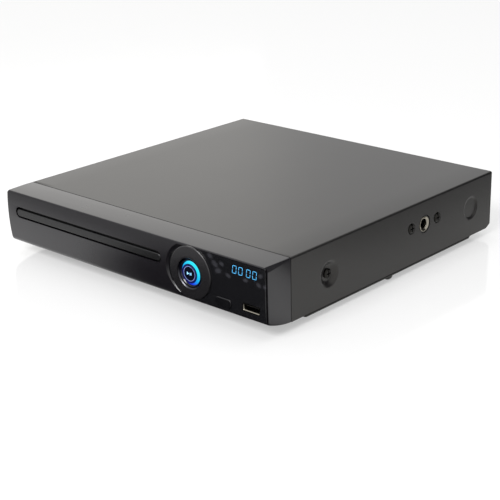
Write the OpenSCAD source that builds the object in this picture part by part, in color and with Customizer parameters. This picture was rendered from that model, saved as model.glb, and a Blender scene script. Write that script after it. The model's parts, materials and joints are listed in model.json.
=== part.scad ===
// Slim tray-loading disc player with a steel cover and a moulded black front.
// Frame: +Z up, the front faces -Y, the origin is on the ground under the middle of the outline.

/* [Case] */
// Width across the steel cover
body_w = 225; // [203:1:247]
// Depth from the crown of the front panel to the rear edge of the cover
body_d = 229; // [207:1:255]
// Height of the case without its feet
case_h = 40.5; // [40:0.5:50]
// Thickness of the pressed steel sheet
sheet = 0.8; // [0.6:0.1:1.1]
// Outer bend radius of the cover's long edges
bend_r = 1.3; // [1.2:0.1:2]
// Gap between the cover's front edge and the front panel
seam_gap = 0.3; // [0.2:0.05:0.6]
// Height of the rubber feet below the pan
foot_h = 4; // [3:0.5:7]
// Radius of the rubber feet
foot_r = 7; // [5:0.5:9]

/* [Front panel] */
// Wall of the moulded front panel
wall = 2; // [1.6:0.1:2.4]
// Depth of the top strip, from the crown back to the seam
top_strip = 21.4; // [18:0.2:26]
// Radius of the convex front face
face_r = 134; // [110:2:200]
// Radius of the rolled lower corner
corner_r = 6; // [5:0.5:7]
// Radius of the curved underside
keel_r = 60; // [50:2:80]
// Thickness of the glossy display window
window_t = 1.6; // [1.2:0.1:1.8]

/* [Tray] */
// Width of the tray slot in the front panel
slot_w = 134.6; // [134:0.2:137]
// Height of the tray slot
slot_h = 8; // [7.8:0.1:8.6]
// Distance from the left side of the case to the slot
slot_margin = 9; // [8.6:0.1:10]
// Height of the tray door
door_h = 5.5; // [5:0.1:6]
// Thickness of the tray door
door_t = 2.5; // [2:0.1:3]
// Length of the tray behind its door
tray_l = 153; // [150:1:156]
// Height of the tray
tray_t = 5.4; // [5:0.1:5.6]
// Radius of the large disc well
well_r = 60.6; // [60.3:0.1:61]
// Depth of the large disc well
well_depth = 2.6; // [2.2:0.1:2.8]
// Distance that the tray slides out
tray_travel = 134; // [120:1:136]
// Module of the gear teeth
gear_m = 0.8; // [0.7:0.05:0.85]

/* [Deck] */
// Radius of the turntable
turntable_r = 15.5; // [13:0.5:17]
// Radius of the centring cone, for a 15 mm disc hole
cone_r = 7.4; // [7.2:0.05:7.45]
// Radius of the steel guide rods
rod_r = 1.5; // [1.2:0.1:1.8]
// Distance that the pickup sled travels
sled_travel = 34; // [30:1:35]
// Angle by which the deck drops clear of the disc
deck_drop = 3.5; // [3:0.25:4]
// Distance that the cam slider moves while the deck drops
cam_travel = 12; // [10:0.5:14]

/* [Controls] */
// Radius of the raised dial ring
ring_r = 15.7; // [14.5:0.1:15.9]
// Height of the dial ring in front of the crown
ring_proud = 1.2; // [0.6:0.1:1.6]
// Radius of the round play button
play_r = 8.15; // [7:0.05:8.5]
// Width of the power button
power_w = 11.5; // [9:0.5:12]
// Height of the power button
power_h = 5.6; // [4:0.2:6]
// Travel of the push buttons
press = 0.6; // [0.3:0.05:0.8]

/* [Sockets] */
// Reach of the phono sockets behind the cover
plug_reach = 8; // [6:0.5:9]
// Outer radius of a phono socket's shell
phono_r = 4.15; // [4.1:0.05:4.2]
// Spacing of the phono sockets
phono_pitch = 14; // [13:0.5:15]
// Bore radius of the side jack
jack_r = 3.25; // [3.2:0.01:3.3]
// Distance of the side jack ahead of the cover's rear edge
jack_ahead = 77.5; // [73:0.5:83]
// Spacing between the jack's two screws
jack_screws = 28; // [26:0.5:32]

/* [Hidden] */
$fn = 48;
eps = 0.01;
clear = 0.3;                                   // general moulding clearance
running = 0.05;                                // radial clearance of a running fit
crown = ring_proud - (ring_proud + body_d + plug_reach) / 2;
back = crown + body_d;
half_w = body_w / 2;
z0 = foot_h;
top_z = foot_h + case_h;
pan_top = z0 + sheet;
seam_y = crown + top_strip;
face_z = z0 + 28;                              // height of the crown line
keel_y = crown + 26;                           // where the underside turns level
keel_z = z0 + 0.95;
lip_y = crown + 34;
edge_r = 1.2;                                  // rounding of the front panel's upright edges
skirt_z = z0 + 1.5;                            // lower edge of the cover's sides
cover_in = half_w - sheet;

slot_z = top_z - 12.9;
disc_x = -half_w + slot_margin + slot_w / 2;
disc_y = crown + 70.5;
door_w = slot_w - 1.4;
door_z = slot_z - slot_h / 2 + 0.9;
door_y = crown + 0.25;                         // the closed door sits flush in the slot
tray_y = door_y + door_t;
tray_z = slot_z - slot_h / 2 + 0.8;
tray_top = tray_z + tray_t;
tray_w = slot_w - 3.9;
well_z = tray_top - well_depth;
small_r = 40.6;
small_depth = 1.2;
lane_r = 20;                                   // half width of the lane for turntable and pickup

frame_in = tray_w / 2 + 0.4;                   // inner face of the loader's side walls
frame_t = 2.5;
frame_y0 = crown + 9;
frame_y1 = crown + 172;
frame_z0 = pan_top + 3.2;
frame_foot_t = 1.8;
foot_z = frame_z0 + frame_foot_t;              // top of the loader's floor strips
frame_top = tray_top + 2.6;
loader_right = disc_x + frame_in + frame_t;
ledge_t = 2;

rack_x = disc_x - tray_w / 2 + 9.35;           // plane of the tray's rack and pinion
rack_w = 5.2;
gear_w = 4;
tray_teeth = 20;
tray_gear_r = gear_m * tray_teeth / 2;
tray_gear_y = crown + 18;
addendum = 0.85 * gear_m;
dedendum = 1.15 * gear_m;
backlash = 0.22;
rack_pitch_z = tray_z + addendum + 0.05;
tray_gear_z = rack_pitch_z - tray_gear_r;
axle_r = 1.5;
pulley_r = 6.2;
pulley_w = 3;
pulley_x = rack_x - gear_w / 2 - 2.6 - pulley_w / 2;
motor_pulley_r = 2.4;
tray_motor_y = tray_gear_y + 29;
tray_motor_r = 8.5;
belt_t = 1.1;

deck_z = tray_z - 4.8;                         // underside of the deck plate
deck_t = 1.6;
deck_w = 42;
pivot_y = disc_y + 84;
pivot_z = deck_z + deck_t / 2;
pivot_r = 2;
bush_r = 3;
ear_x = 47.5;                                  // pivot ears on both sides of the deck
cam_y = disc_y - 27;                           // middle of the cam slider
cam_t = 2.4;
cam_wall = 1.6;
deck_y0 = cam_y + cam_t / 2 + clear + cam_wall + 0.9;
pin_r = 1.2;
pin_x = 14;
pin_z = deck_z - 3.2;
cam_drop = (pivot_y - cam_y) * sin(deck_drop);
rod_x = 22;
rod_z = deck_z - 3;
rod_y0 = disc_y + 4;
rod_y1 = disc_y + 79;
spindle_r = 1.5;
motor_r = 12.5;
motor_h = 6;
table_z = tray_top - 1.2;                      // plane on which a clamped disc lies
lens_r0 = 25;                                  // radius of the pickup's inner track
lens_y = disc_y + lens_r0;
sled_teeth = 14;
wheel_teeth = 30;
pinion_teeth = 10;
sled_gear_r = gear_m * sled_teeth / 2;
wheel_r = gear_m * wheel_teeth / 2;
pinion_r = gear_m * pinion_teeth / 2;
sled_rack_x = disc_x + 28.4;
sled_gear_x = sled_rack_x + sled_gear_r;
sled_gear_y = disc_y + 40;
sled_motor_dx = 12;
sled_motor_dy = -sqrt(pow(wheel_r + pinion_r, 2) - pow(sled_motor_dx, 2));
sled_motor_x = sled_gear_x + sled_motor_dx;
sled_motor_y = sled_gear_y + sled_motor_dy;
sled_motor_r = 5.6;
bridge_z = frame_top;
bridge_t = 1.2;
bridge_d = 34;
puck_r = 13;

control_w = body_w - slot_margin - slot_w;     // room on the front beside the slot
full_w = 81.4;                                 // room that the controls take at their full size
full_h = 40.5;
fit = min(control_w / full_w, case_h / full_h);
ring = ring_r * fit;
play = play_r * fit;
key_w = power_w * fit;
key_h = power_h * fit;

dial_x = half_w - 57.1 * fit;
dial_z = top_z - 17;
pocket_y = crown + 1.9;                        // floor of the dial's pocket
scoop_r = 17.9 * fit;
scoop_x = dial_x - 2.2 * fit;
scoop_z = 15.6 * fit;                          // half height of the scoop
scoop_depth = 2.4;
bezel_r = play + 1.45;
key_r = 17.1 * fit;
key_half = 9 * fit;
window_x0 = dial_x + 3;
window_z0 = z0 + 5;
window_z1 = top_z - 0.9;
sensor_x = half_w - 36 * fit;
sensor_z = top_z - 8.5;
backing_t = 1.7;
board_y = crown + 9.5;
board_t = 1.6;
power_x = half_w - 32.3 * fit;
power_z = z0 + 12.2;
usb_x = half_w - 11.6;
usb_z = z0 + 13.4;
usb_w = 12.5;
usb_h = 4.5;
usb_y = crown + face_set(usb_z) + 1.5;
usb_d = 14;
digits_x = half_w - 17.4 * fit;
digits_z = top_z - 7.5;
digit_w = 3.1 * fit;
digit_h = 4.8 * fit;
digit_pitch = 4.6 * fit;
pair_gap = 1.25 * fit;
display_w = 21.8 * fit;
display_h = 7.8 * fit;

jack_y = back - jack_ahead;
jack_z = z0 + 24.6;
jack_nose = 5;
jack_hole = 6;
bracket_t = 3;
bracket_x = half_w - sheet - clear;            // outer face of the jack's bracket
housing_x = bracket_x - bracket_t;             // front of the jack's housing
cup_r = 3.6;                                   // pressed cup round each jack screw
cup_depth = 1;
dimple_r = 8.3;
dimple_depth = 2.2;
dimple_y = crown + 56;
dimple_z = z0 + 20.2;
rear_dimple_y = back - 24.6;
rear_dimple_depth = 0.9;
screw_r = 1.5;
head_r = 3;
pilot_r = 1.5;                                 // bore that a screw's thread fills
pass_r = 1.7;                                  // bore that a screw passes through

rear_y = back - 1.8;                           // outer face of the rear wall
main_z = pan_top + 6;
board_in = 6.5;                                // distance of both boards from the case's sides
main_d = 0.797 * (rear_y - frame_y1);
power_board_w = 0.73 * (half_w - board_in - loader_right);
power_board_d = 112;
power_board_x0 = half_w - board_in - power_board_w;
spread = power_board_w / 54;                   // spacing of what stands on the power board
ribbon_x = (loader_right + power_board_x0) / 2 - 1;
main_x1 = ribbon_x + 5;
chip = 0.41 * main_d;                          // side of the decoder in its flat package
phono_z = main_z + board_t + 8;
phono_x = -half_w + 30;
coax_x = phono_x + 3.4 * phono_pitch;
video_x = coax_x + 24;
inlet_w = 20;
inlet_x = half_w - board_in - 10.5 - inlet_w / 2;
inlet_h = 10.5;
inlet_z = main_z + board_t + inlet_h / 2;

// ---------- helpers ----------

// A prism along X of a shape drawn as (y, z)
module across(x0, x1) {
    translate([x0, 0, 0]) rotate([90, 0, 90]) linear_extrude(x1 - x0) children();
}

// A prism along Y of a shape drawn as (x, z)
module facing(y0, y1) {
    translate([0, y1, 0]) rotate([90, 0, 0]) linear_extrude(y1 - y0) children();
}

// A box given by its two corners
module block(low, high) {
    translate(low) cube(high - low);
}

// A round bar along Y, X or Z between two stations
module bar_y(x, z, r, y0, y1) {
    translate([x, y1, z]) rotate([90, 0, 0]) cylinder(h = y1 - y0, r = r);
}

module bar_x(y, z, r, x0, x1) {
    translate([x0, y, z]) rotate([0, 90, 0]) cylinder(h = x1 - x0, r = r);
}

module bar_z(x, y, r, z_low, z_high) {
    translate([x, y, z_low]) cylinder(h = z_high - z_low, r = r);
}

// A flat slot shape with fully round ends, centred
module stadium(w, h) {
    square([w - h, h], center = true);
    for (side = [-1, 1]) translate([side * (w - h) / 2, 0]) circle(r = h / 2);
}

// A rectangle with round corners, centred
module soft_rect(w, h, r) {
    square([w - 2 * r, h], center = true);
    square([w, h - 2 * r], center = true);
    for (sx = [-1, 1], sy = [-1, 1]) translate([sx * (w / 2 - r), sy * (h / 2 - r)]) circle(r = r);
}

function arc(c, r, a0, a1, n) =
    [for (i = [0:n]) let (a = a0 + (a1 - a0) * i / n) c + r * [cos(a), sin(a)]];

function bearing(v) = atan2(v[1], v[0]) < 0 ? atan2(v[1], v[0]) + 360 : atan2(v[1], v[0]);

// The lower left point where two circles cross
function crossing(c1, r1, c2, r2) =
    let (v = c2 - c1, d = norm(v), u = v / d, a = (r1 * r1 - r2 * r2 + d * d) / (2 * d))
    let (h = sqrt(r1 * r1 - a * a), p = c1 + a * u, n = [-u[1], u[0]])
    (p + h * n)[0] < (p - h * n)[0] ? p + h * n : p - h * n;

// ---------- gears ----------

function inv(a) = tan(a) * 180 / PI - a;

// Polar angle of a flank from the middle of its tooth, at radius r
function flank(n, r, rb, slack) =
    90 / n - slack / (gear_m * n) * 180 / PI + inv(20) - inv(acos(min(1, rb / r)));

module gear_shape(n, phase) {
    rp = gear_m * n / 2;
    rb = rp * cos(20);
    tip = rp + addendum;
    root = rp - dedendum;
    low = max(root, rb);
    radii = [for (i = [0:4]) low + (tip - low) * i / 4];
    polygon([for (t = [0:n - 1]) let (mid = phase + t * 360 / n) each concat(
        [root * [cos(mid - flank(n, low, rb, backlash)), sin(mid - flank(n, low, rb, backlash))]],
        [for (r = radii) let (a = mid - flank(n, r, rb, backlash)) r * [cos(a), sin(a)]],
        [for (i = [4:-1:0]) let (r = radii[i], a = mid + flank(n, r, rb, backlash)) r * [cos(a), sin(a)]],
        [root * [cos(mid + flank(n, low, rb, backlash)), sin(mid + flank(n, low, rb, backlash))]])]);
}

// Outline of the gaps of a rack that lies along the first axis, teeth tips at height 0.
// A gap is centred at the station at.
module rack_gaps(at, low, high) {
    pitch = PI * gear_m;
    depth = addendum + dedendum + 0.05;
    half_pitch = pitch / 4 + backlash / 2;
    mouth = half_pitch + tan(20) * (addendum + 0.05);
    floor_half = half_pitch - tan(20) * dedendum;
    first = ceil((low + mouth - at) / pitch);
    last = floor((high - mouth - at) / pitch);
    for (i = [first:last]) translate([at + i * pitch, 0])
        polygon([[-mouth, -1], [-mouth, 0], [-floor_half, depth], [floor_half, depth],
            [mouth, 0], [mouth, -1]]);
}

// ---------- front panel ----------

// Side profile of the front panel, shrunk inward by inset
function front_profile(inset, rear) =
    let (c1 = [crown + face_r, face_z], c2 = [keel_y, keel_z + keel_r])
    let (c = crossing(c1, face_r - corner_r, c2, keel_r - corner_r))
    let (a_top = 180 - asin((top_z - inset - face_z) / (face_r - inset)))
    let (a1 = bearing(c - c1), a2 = bearing(c - c2))
    let (a_end = rear < keel_y ? 270 - asin((keel_y - rear) / (keel_r - inset)) : 270)
    concat([[rear, top_z - inset]],
        arc(c1, face_r - inset, a_top, a1, 14),
        arc(c, corner_r - inset, a1, a2, 8),
        arc(c2, keel_r - inset, a2, a_end, 8),
        rear > keel_y ? [[rear, keel_z + inset]] : []);

// Height of the front face's surface at a given height, as a distance from the crown
function face_set(z) = face_r - sqrt(face_r * face_r - pow(z - face_z, 2));

// The face's own material between two insets, limited in height
module face_band(inner, outer, z_low, z_high) {
    intersection() {
        difference() {
            polygon(front_profile(inner, lip_y));
            polygon(front_profile(outer, lip_y + 1));
        }
        translate([crown - 1, z_low]) square([8, z_high - z_low]);
    }
}

// The tapered facet along the top side edge: it fades from the front towards the seam
module side_facet(side) {
    front_in = 1.1;
    rear_in = 0.6;
    lean = atan(3);
    run = atan((front_in - rear_in) * sin(lean) / top_strip);
    mirror([side < 0 ? 1 : 0, 0, 0]) translate([half_w - front_in, crown, top_z])
        rotate([0, lean, 0]) rotate([run, 0, 0]) translate([-8, -8, 0]) cube([24, 60, 8]);
}

// The front's outer body, its upright edges rounded in plan
module front_body() {
    intersection() {
        across(-half_w, half_w) polygon(front_profile(0, seam_y));
        linear_extrude(top_z + 1) polygon(concat(
            arc([-half_w + edge_r, crown + edge_r], edge_r, 180, 270, 6),
            arc([half_w - edge_r, crown + edge_r], edge_r, 270, 360, 6),
            [[half_w, lip_y], [-half_w, lip_y]]));
    }
}

module panel_shell() {
    difference() {
        front_body();
        across(-half_w + wall, half_w - wall) polygon(front_profile(wall, lip_y));
    }
    // the bottom lip runs on inside the cover and carries the pan
    block([-cover_in + clear, seam_y - 0.4, keel_z + 0.3], [cover_in - clear, lip_y - 3 - clear,
        keel_z + wall]);
}

module panel_tongues() {
    tongue = 1.2;
    tongue_top = top_z - sheet - clear;
    block([-half_w + 5, seam_y - 4, tongue_top - tongue], [half_w - 5, seam_y + 6, tongue_top]);
    for (side = [-1, 1]) mirror([side < 0 ? 1 : 0, 0, 0])
        block([cover_in - clear - tongue, seam_y - 4, z0 + 8],
            [cover_in - clear, seam_y + 6, top_z - 8]);
}

module slot_shape(grow) {
    translate([disc_x, slot_z]) stadium(slot_w + 2 * grow, slot_h + 2 * grow);
}

// Thicker material behind the window and round the dial
module panel_backing() {
    across(window_x0, half_w - wall - eps) face_band(0.5, window_t + backing_t, window_z0 - 1, window_z1);
    intersection() {
        bar_y(dial_x - 1, dial_z, scoop_r + 1.6, crown, crown + scoop_depth + 1.8);
        across(-half_w, half_w) polygon(front_profile(0.5, lip_y));
    }
}

module panel_cuts() {
    facing(crown - 2, crown + 12) slot_shape(0);
    // recess that takes the window
    across(window_x0 - clear / 2, half_w + 1) difference() {
        translate([crown - 2, window_z0 - clear / 2]) square([10, window_z1 - window_z0 + clear]);
        polygon(front_profile(window_t + 0.1, lip_y));
    }
    // dial pocket and the scoop beside it
    bar_y(dial_x, dial_z, ring + clear / 2, crown - 3, pocket_y);
    intersection() {
        translate([scoop_x, crown + scoop_depth, dial_z]) rotate([90, 0, 0])
            cylinder(h = scoop_depth + 1, r1 = 14.4 * fit, r2 = scoop_r + 1.4);
        block([scoop_x - 20, crown - 2, dial_z - scoop_z], [dial_x, crown + 5, dial_z + scoop_z]);
    }
    bar_y(dial_x, dial_z, bezel_r + clear, crown, crown + 8);
    facing(crown - 1, crown + 8) key_shape(clear);
    facing(crown - 1, crown + 8) translate([power_x, power_z])
        soft_rect(key_w + 2 * clear, key_h + 2 * clear, 1.6 * fit + clear);
    facing(crown - 2, crown + 8) translate([usb_x, usb_z]) square([usb_w + 0.7, usb_h + 0.7],
        center = true);
    facing(crown, crown + 8) translate([digits_x, digits_z]) square([display_w + 2 * clear,
        display_h + 2 * clear], center = true);
    bar_y(sensor_x, sensor_z, 3.2, crown, crown + 8);
    for (side = [-1, 1]) side_facet(side);
}

// Bosses that carry the front board
module board_bosses() {
    for (p = board_points()) difference() {
        bar_y(p[0], p[1], 2.8, crown + 1.2, board_y);
        bar_y(p[0], p[1], pilot_r, board_y - 5, board_y + eps);
    }
}

function board_points() = [[dial_x - 14.6 * fit, dial_z - 12.5 * fit],
    [dial_x + 15 * fit, dial_z - 12.5 * fit], [half_w - 5.5, z0 + 24.5]];

module front_panel() {
    color("#232325") {
        difference() {
            union() {
                panel_shell();
                panel_tongues();
                panel_backing();
                // collar that guides the tray
                facing(crown + 1, crown + 7.5) difference() {
                    slot_shape(1.3);
                    slot_shape(0);
                }
                intersection() {
                    board_bosses();
                    across(-half_w, half_w) polygon(front_profile(1, lip_y));
                }
                // ribs that stiffen the wide front wall
                for (i = [0:5]) let (x = -half_w + 22 + i * 22)
                    across(x, x + 1.2) face_band(1, wall + 2.2, z0 + 8, slot_z - slot_h / 2 - 1.2);
            }
            panel_cuts();
        }
    }
}

// Crescent between the scoop's edge and the dial ring
module key_shape(grow) {
    intersection() {
        difference() {
            translate([scoop_x + 0.2, dial_z]) circle(r = key_r + grow);
            translate([dial_x, dial_z]) circle(r = ring + 0.35 - grow * 0.6);
        }
        translate([scoop_x - 20, dial_z - key_half - grow]) square([20, 2 * (key_half + grow)]);
    }
}

module display_window() {
    color("#0b0b0d") difference() {
        intersection() {
            front_body();
            across(window_x0, half_w) face_band(0, window_t, window_z0, window_z1);
        }
        bar_y(dial_x, dial_z, ring + clear, crown - 3, crown + 5);
        facing(crown - 2, crown + 5) translate([power_x, power_z])
            soft_rect(key_w + 2 * clear, key_h + 2 * clear, 1.6 * fit + clear);
        facing(crown - 2, crown + 5) translate([usb_x, usb_z]) square([usb_w + 0.7, usb_h + 0.7],
            center = true);
        side_facet(1);
    }
}

// Ring turned about the dial's axis, its crest rounded and its inner slope dished
module dial_ring() {
    base = ring_proud + pocket_y - crown;
    color("#2b2b2d") translate([dial_x, pocket_y, dial_z]) rotate([90, 0, 0]) rotate_extrude($fn = 96)
        polygon(concat([[bezel_r + running, 0], [ring, 0], [ring, base - 1]],
            arc([ring - 1, base - 1], 1, 0, 75, 5),
            [[ring - 3 * fit, base - 0.15], [bezel_r + 2 * fit, base - 0.75], [bezel_r + running,
                base - 1.35]]));
}

module button_bezel() {
    front = crown - ring_proud + 1.1;
    color("silver") translate([dial_x, crown + 5, dial_z]) rotate([90, 0, 0]) rotate_extrude($fn = 96)
        polygon([[play + 0.15, 0], [bezel_r, 0], [bezel_r, crown + 5 - front - 0.5],
            [bezel_r - 0.5, crown + 5 - front], [play + 0.55, crown + 5 - front],
            [play + 0.15, crown + 5 - front - 0.6]]);
}

glow_r0 = 5.2 * fit;
glow_r1 = play - 0.65;
play_front = crown - ring_proud + 1.4;

module play_button() {
    depth = crown + 6.2 - play_front;
    color("#101014") {
        translate([dial_x, crown + 6.2, dial_z]) rotate([90, 0, 0]) difference() {
            rotate_extrude($fn = 96) polygon([[0, 0], [play, 0], [play, depth - 0.4],
                [play - 0.4, depth], [0, depth]]);
            translate([0, 0, depth - 0.8]) difference() {
                cylinder(h = 1, r = glow_r1);
                translate([0, 0, -1]) cylinder(h = 3, r = glow_r0);
            }
        }
        // retaining skirt behind the bezel and the plunger over the switch
        bar_y(dial_x, dial_z, bezel_r, crown + 5 + clear, crown + 6.2);
        bar_y(dial_x, dial_z, 1.6, crown + 6, plunger_y);
    }
}

module glow_ring() {
    color("#38c8ff") translate([dial_x, play_front + 0.75, dial_z]) rotate([90, 0, 0])
        rotate_extrude($fn = 96)
        polygon([[glow_r0 + 0.05, 0], [glow_r1 - 0.05, 0], [glow_r1 - 0.05, 0.65],
            [glow_r1 - 0.25, 0.8], [glow_r0 + 0.25, 0.8], [glow_r0 + 0.05, 0.65]]);
}

key_front = crown + 1.1;

module open_key() {
    rear = crown + scoop_depth + 1.8 + clear;
    color("#17171a") {
        facing(key_front, rear + 1) key_shape(0);
        // retaining flange behind the panel and the plunger over the switch
        facing(rear, rear + 1) translate([key_x, dial_z]) square([4.2, 2 * key_half - 4], center = true);
        bar_y(key_x, dial_z, 1.2, rear, plunger_y);
    }
}

module power_button() {
    rear = crown + window_t + backing_t + face_set(power_z) + clear;
    front = crown + face_set(power_z) - 0.8;
    color("#141417") {
        facing(front + 0.4, rear + 1) translate([power_x, power_z]) soft_rect(key_w, key_h, 1.6 * fit);
        facing(front, front + 0.5) translate([power_x, power_z]) soft_rect(key_w - 0.8, key_h - 0.8,
            1.3 * fit);
        facing(rear, rear + 1) translate([power_x, power_z + 0.6]) square([key_w + 2, key_h - 1.6],
            center = true);
        bar_y(power_x, power_z, 1.6, rear, plunger_y);
    }
}

switch_t = 1.7;
switch_y = board_y - switch_t;                 // front of a push switch
plunger_y = switch_y - press - 0.1;            // ends of the plungers, clear of the switches when pressed
key_x = scoop_x - scoop_r + 3.1;

module front_board() {
    color("#1f5c3a") difference() {
        block([dial_x - 19 * fit, board_y, z0 + 7.5], [half_w - wall - 1.5, board_y + board_t, top_z - 4]);
        facing(board_y - 1, board_y + board_t + 1) translate([usb_x, usb_z])
            square([usb_w + 0.6, usb_h + 0.6], center = true);
        for (p = board_points()) bar_y(p[0], p[1], 1.6, board_y - 1, board_y + board_t + 1);
    }
}

module push_switches() {
    color("#c9c9c4") for (p = [[dial_x, dial_z], [power_x, power_z], [key_x, dial_z]])
        facing(switch_y, board_y) translate(p) square([6, 6], center = true);
}

// One figure of a seven-segment display, as its seven bars
module figure_zero(w, h, t) {
    for (sx = [-1, 1], sz = [-1, 1]) translate([sx * (w - t) / 2, sz * h / 4])
        square([t, h / 2 - t * 0.7], center = true);
    for (sz = [-1, 1]) translate([0, sz * (h - t) / 2]) square([w - 2 * t, t], center = true);
}

function digit_places() = [-1.5 * digit_pitch - pair_gap / 2, -0.5 * digit_pitch - pair_gap / 2,
    0.5 * digit_pitch + pair_gap / 2, 1.5 * digit_pitch + pair_gap / 2];

module led_display() {
    front = crown + window_t + 0.5;
    color("#3a4048") difference() {
        facing(front, board_y) translate([digits_x, digits_z]) square([display_w, display_h],
            center = true);
        facing(front - 1, front + 0.2) for (dx = digit_places())
            translate([digits_x + dx, digits_z]) figure_zero(digit_w, digit_h, 0.75 * fit);
    }
}

module remote_sensor() {
    color("#241a2a") {
        block([sensor_x - 3, board_y - 3.6, sensor_z - 3.4], [sensor_x + 3, board_y, sensor_z + 3.4]);
        bar_y(sensor_x, sensor_z, 2.6, board_y - 6, board_y - 3.6);
    }
}

module usb_shell() {
    color("silver") difference() {
        facing(usb_y, usb_y + usb_d) translate([usb_x, usb_z]) square([usb_w, usb_h], center = true);
        facing(usb_y - 1, usb_y + usb_d - 2) translate([usb_x, usb_z]) square([usb_w - 0.7, usb_h - 0.7],
            center = true);
    }
}

module usb_tongue() {
    depth = usb_d - 2;
    color("#202022") {
        facing(usb_y + 1, usb_y + depth) translate([usb_x, usb_z + 0.7]) square([11.1, 1.6],
            center = true);
        for (i = [-1.5:1:1.5]) facing(usb_y + 1.6, usb_y + depth) translate([usb_x + i * 2.3, usb_z - 0.2])
            square([1, 0.3], center = true);
    }
}

// ---------- steel case ----------

// The cover's U section, with true bend radii
module cover_section(r, x, top) {
    polygon(concat([[-x, 0], [-x, top - r]], arc([-x + r, top - r], r, 180, 90, 5),
        arc([x - r, top - r], r, 90, 0, 5), [[x, 0]]));
}

// Places a shape that points inward through a side wall
module into_side(y, z, side) {
    mirror([side < 0 ? 1 : 0, 0, 0]) translate([half_w, y, z]) rotate([0, -90, 0]) children();
}

// Bore from outside a side wall
module side_bore(y, z, side, r, depth) {
    into_side(y, z, side) translate([0, 0, -1]) cylinder(h = depth + 1, r = r);
}

// A pressed dish; grow thickens it by the sheet, and without it the dish opens outwards
module dish(r, floor_r, depth, grow) {
    cylinder(h = depth + grow, r1 = r + grow * 0.6, r2 = floor_r + grow * 0.6);
    if (grow == 0) translate([0, 0, -1]) cylinder(h = 1 + eps, r = r);
}

module all_dishes(grow) {
    for (side = [-1, 1]) {
        into_side(dimple_y, dimple_z, side) dish(dimple_r, dimple_r * 0.56, dimple_depth, grow);
        into_side(rear_dimple_y, dimple_z + 1, side)
            dish(dimple_r - 0.4, dimple_r - 1.8, rear_dimple_depth, grow);
    }
    for (dy = [-1, 1]) into_side(jack_y + dy * jack_screws / 2, jack_z + 0.6, 1)
        dish(cup_r, cup_r - 0.4, cup_depth, grow);
}

module top_cover() {
    color("#3b3b3c") difference() {
        union() {
            difference() {
                facing(seam_y + seam_gap, back) difference() {
                    cover_section(bend_r, half_w, top_z);
                    cover_section(bend_r - sheet, cover_in, top_z - sheet);
                    translate([-half_w - 1, -1]) square([body_w + 2, skirt_z + 1]);
                }
                // the skirt lifts towards its rear corners
                across(-half_w - 1, half_w + 1) polygon([[back - 4.6, skirt_z - 1], [back - 4.6, skirt_z],
                    [back + 1, skirt_z + 2.8], [back + 1, skirt_z - 1]]);
            }
            // fold-down lip over the rear wall
            block([-cover_in + 0.2, back - sheet - lip_back, top_z - 9],
                [cover_in - 0.2, back - lip_back, top_z - sheet / 2]);
            all_dishes(sheet);
        }
        all_dishes(0);
        for (side = [-1, 1]) side_bore(dimple_y, dimple_z, side, pass_r, 8);
        for (dy = [-1, 1]) side_bore(jack_y + dy * jack_screws / 2, jack_z + 0.6, 1, pass_r, 8);
        side_bore(jack_y, jack_z, 1, jack_hole, 3);
        for (x = rear_screw_x()) bar_y(x, rear_screw_z, pass_r, back - 3, back + 1);
    }
}

lip_back = 0.7;                                // the rear lip stands in from the cover's edge
rear_screw_z = top_z - 5.5;

function rear_screw_x() = [-half_w + 12, 0, half_w - 12];

// Underside of the pan along Y: front tongue, floor and rear step
function pan_line() = [[seam_y + 1.6, keel_z + wall + 0.05], [lip_y - 3, keel_z + wall + 0.05],
    [lip_y + 0.5, z0], [back - 24, z0], [back - 20, z0 + 1.4], [rear_y - 1, z0 + 1.4]];

module pan_section() {
    low = pan_line();
    top = [for (i = [len(low) - 1:-1:0]) low[i] + [0, sheet]];
    polygon(concat(low, [[rear_y, z0 + 2.4], [rear_y, top_z - 1.6], [rear_y - sheet, top_z - 1.6],
        [rear_y - sheet, z0 + 1.4 + sheet]], [for (i = [1:len(top) - 1]) top[i]]));
}

module base_pan() {
    rim = cover_in - 0.25;
    tab_x = half_w - dimple_depth - sheet - 0.1;
    color("#2e2e30") difference() {
        union() {
            across(-rim, rim) pan_section();
            // floor runs out under the cover's skirt on both sides
            block([-half_w + 0.3, lip_y + 1, z0], [half_w - 0.3, back - 24.5, z0 + sheet]);
            for (side = [-1, 1]) mirror([side < 0 ? 1 : 0, 0, 0]) {
                // low flange inside the cover, and the tab that takes the side screw
                block([rim - sheet, lip_y + 2, z0], [rim, back - 25, z0 + 9]);
                block([tab_x - 2 * sheet, dimple_y - 8, z0], [tab_x, dimple_y + 8, dimple_z + 6]);
                // round nub pressed out of the floor near the middle of each side
                translate([half_w - 4.2, crown + 118.5, z0]) nub();
            }
            // posts for the boards and the loader, drawn up from the floor
            for (p = concat(main_points(), power_points())) bar_z(p[0], p[1], 3, pan_top - eps, main_z);
            for (p = frame_points()) bar_z(p[0], p[1], 4, pan_top - eps, frame_z0);
        }
        for (p = concat(main_points(), power_points())) bar_z(p[0], p[1], pilot_r, z0 - 1, main_z + 1);
        for (p = frame_points()) bar_z(p[0], p[1], pilot_r, z0 - 1, frame_z0 + 1);
        rear_cuts();
        // air slots below the power board
        for (i = [0:8]) translate([power_board_x0 + (6 + i * 5) * spread, back - 99, z0 - 1])
            linear_extrude(sheet + 2) rotate([0, 0, 90]) translate([14, 0]) stadium(28, 2.2);
        for (side = [-1, 1]) into_side(dimple_y, dimple_z, side) cylinder(h = 8, r = pilot_r);
        for (f = foot_points()) bar_z(f[0], f[1], 2.2, z0 - 1, pan_top + 1);
    }
}

module nub() {
    difference() {
        translate([0, 0, -foot_h + 0.4 + 3.3]) sphere(r = 3.3);
        translate([-5, -5, sheet]) cube([10, 10, 8]);
    }
    translate([0, 0, -foot_h + 3.7]) cylinder(h = foot_h - 3.7 + sheet, r = 3.3);
}

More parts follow.
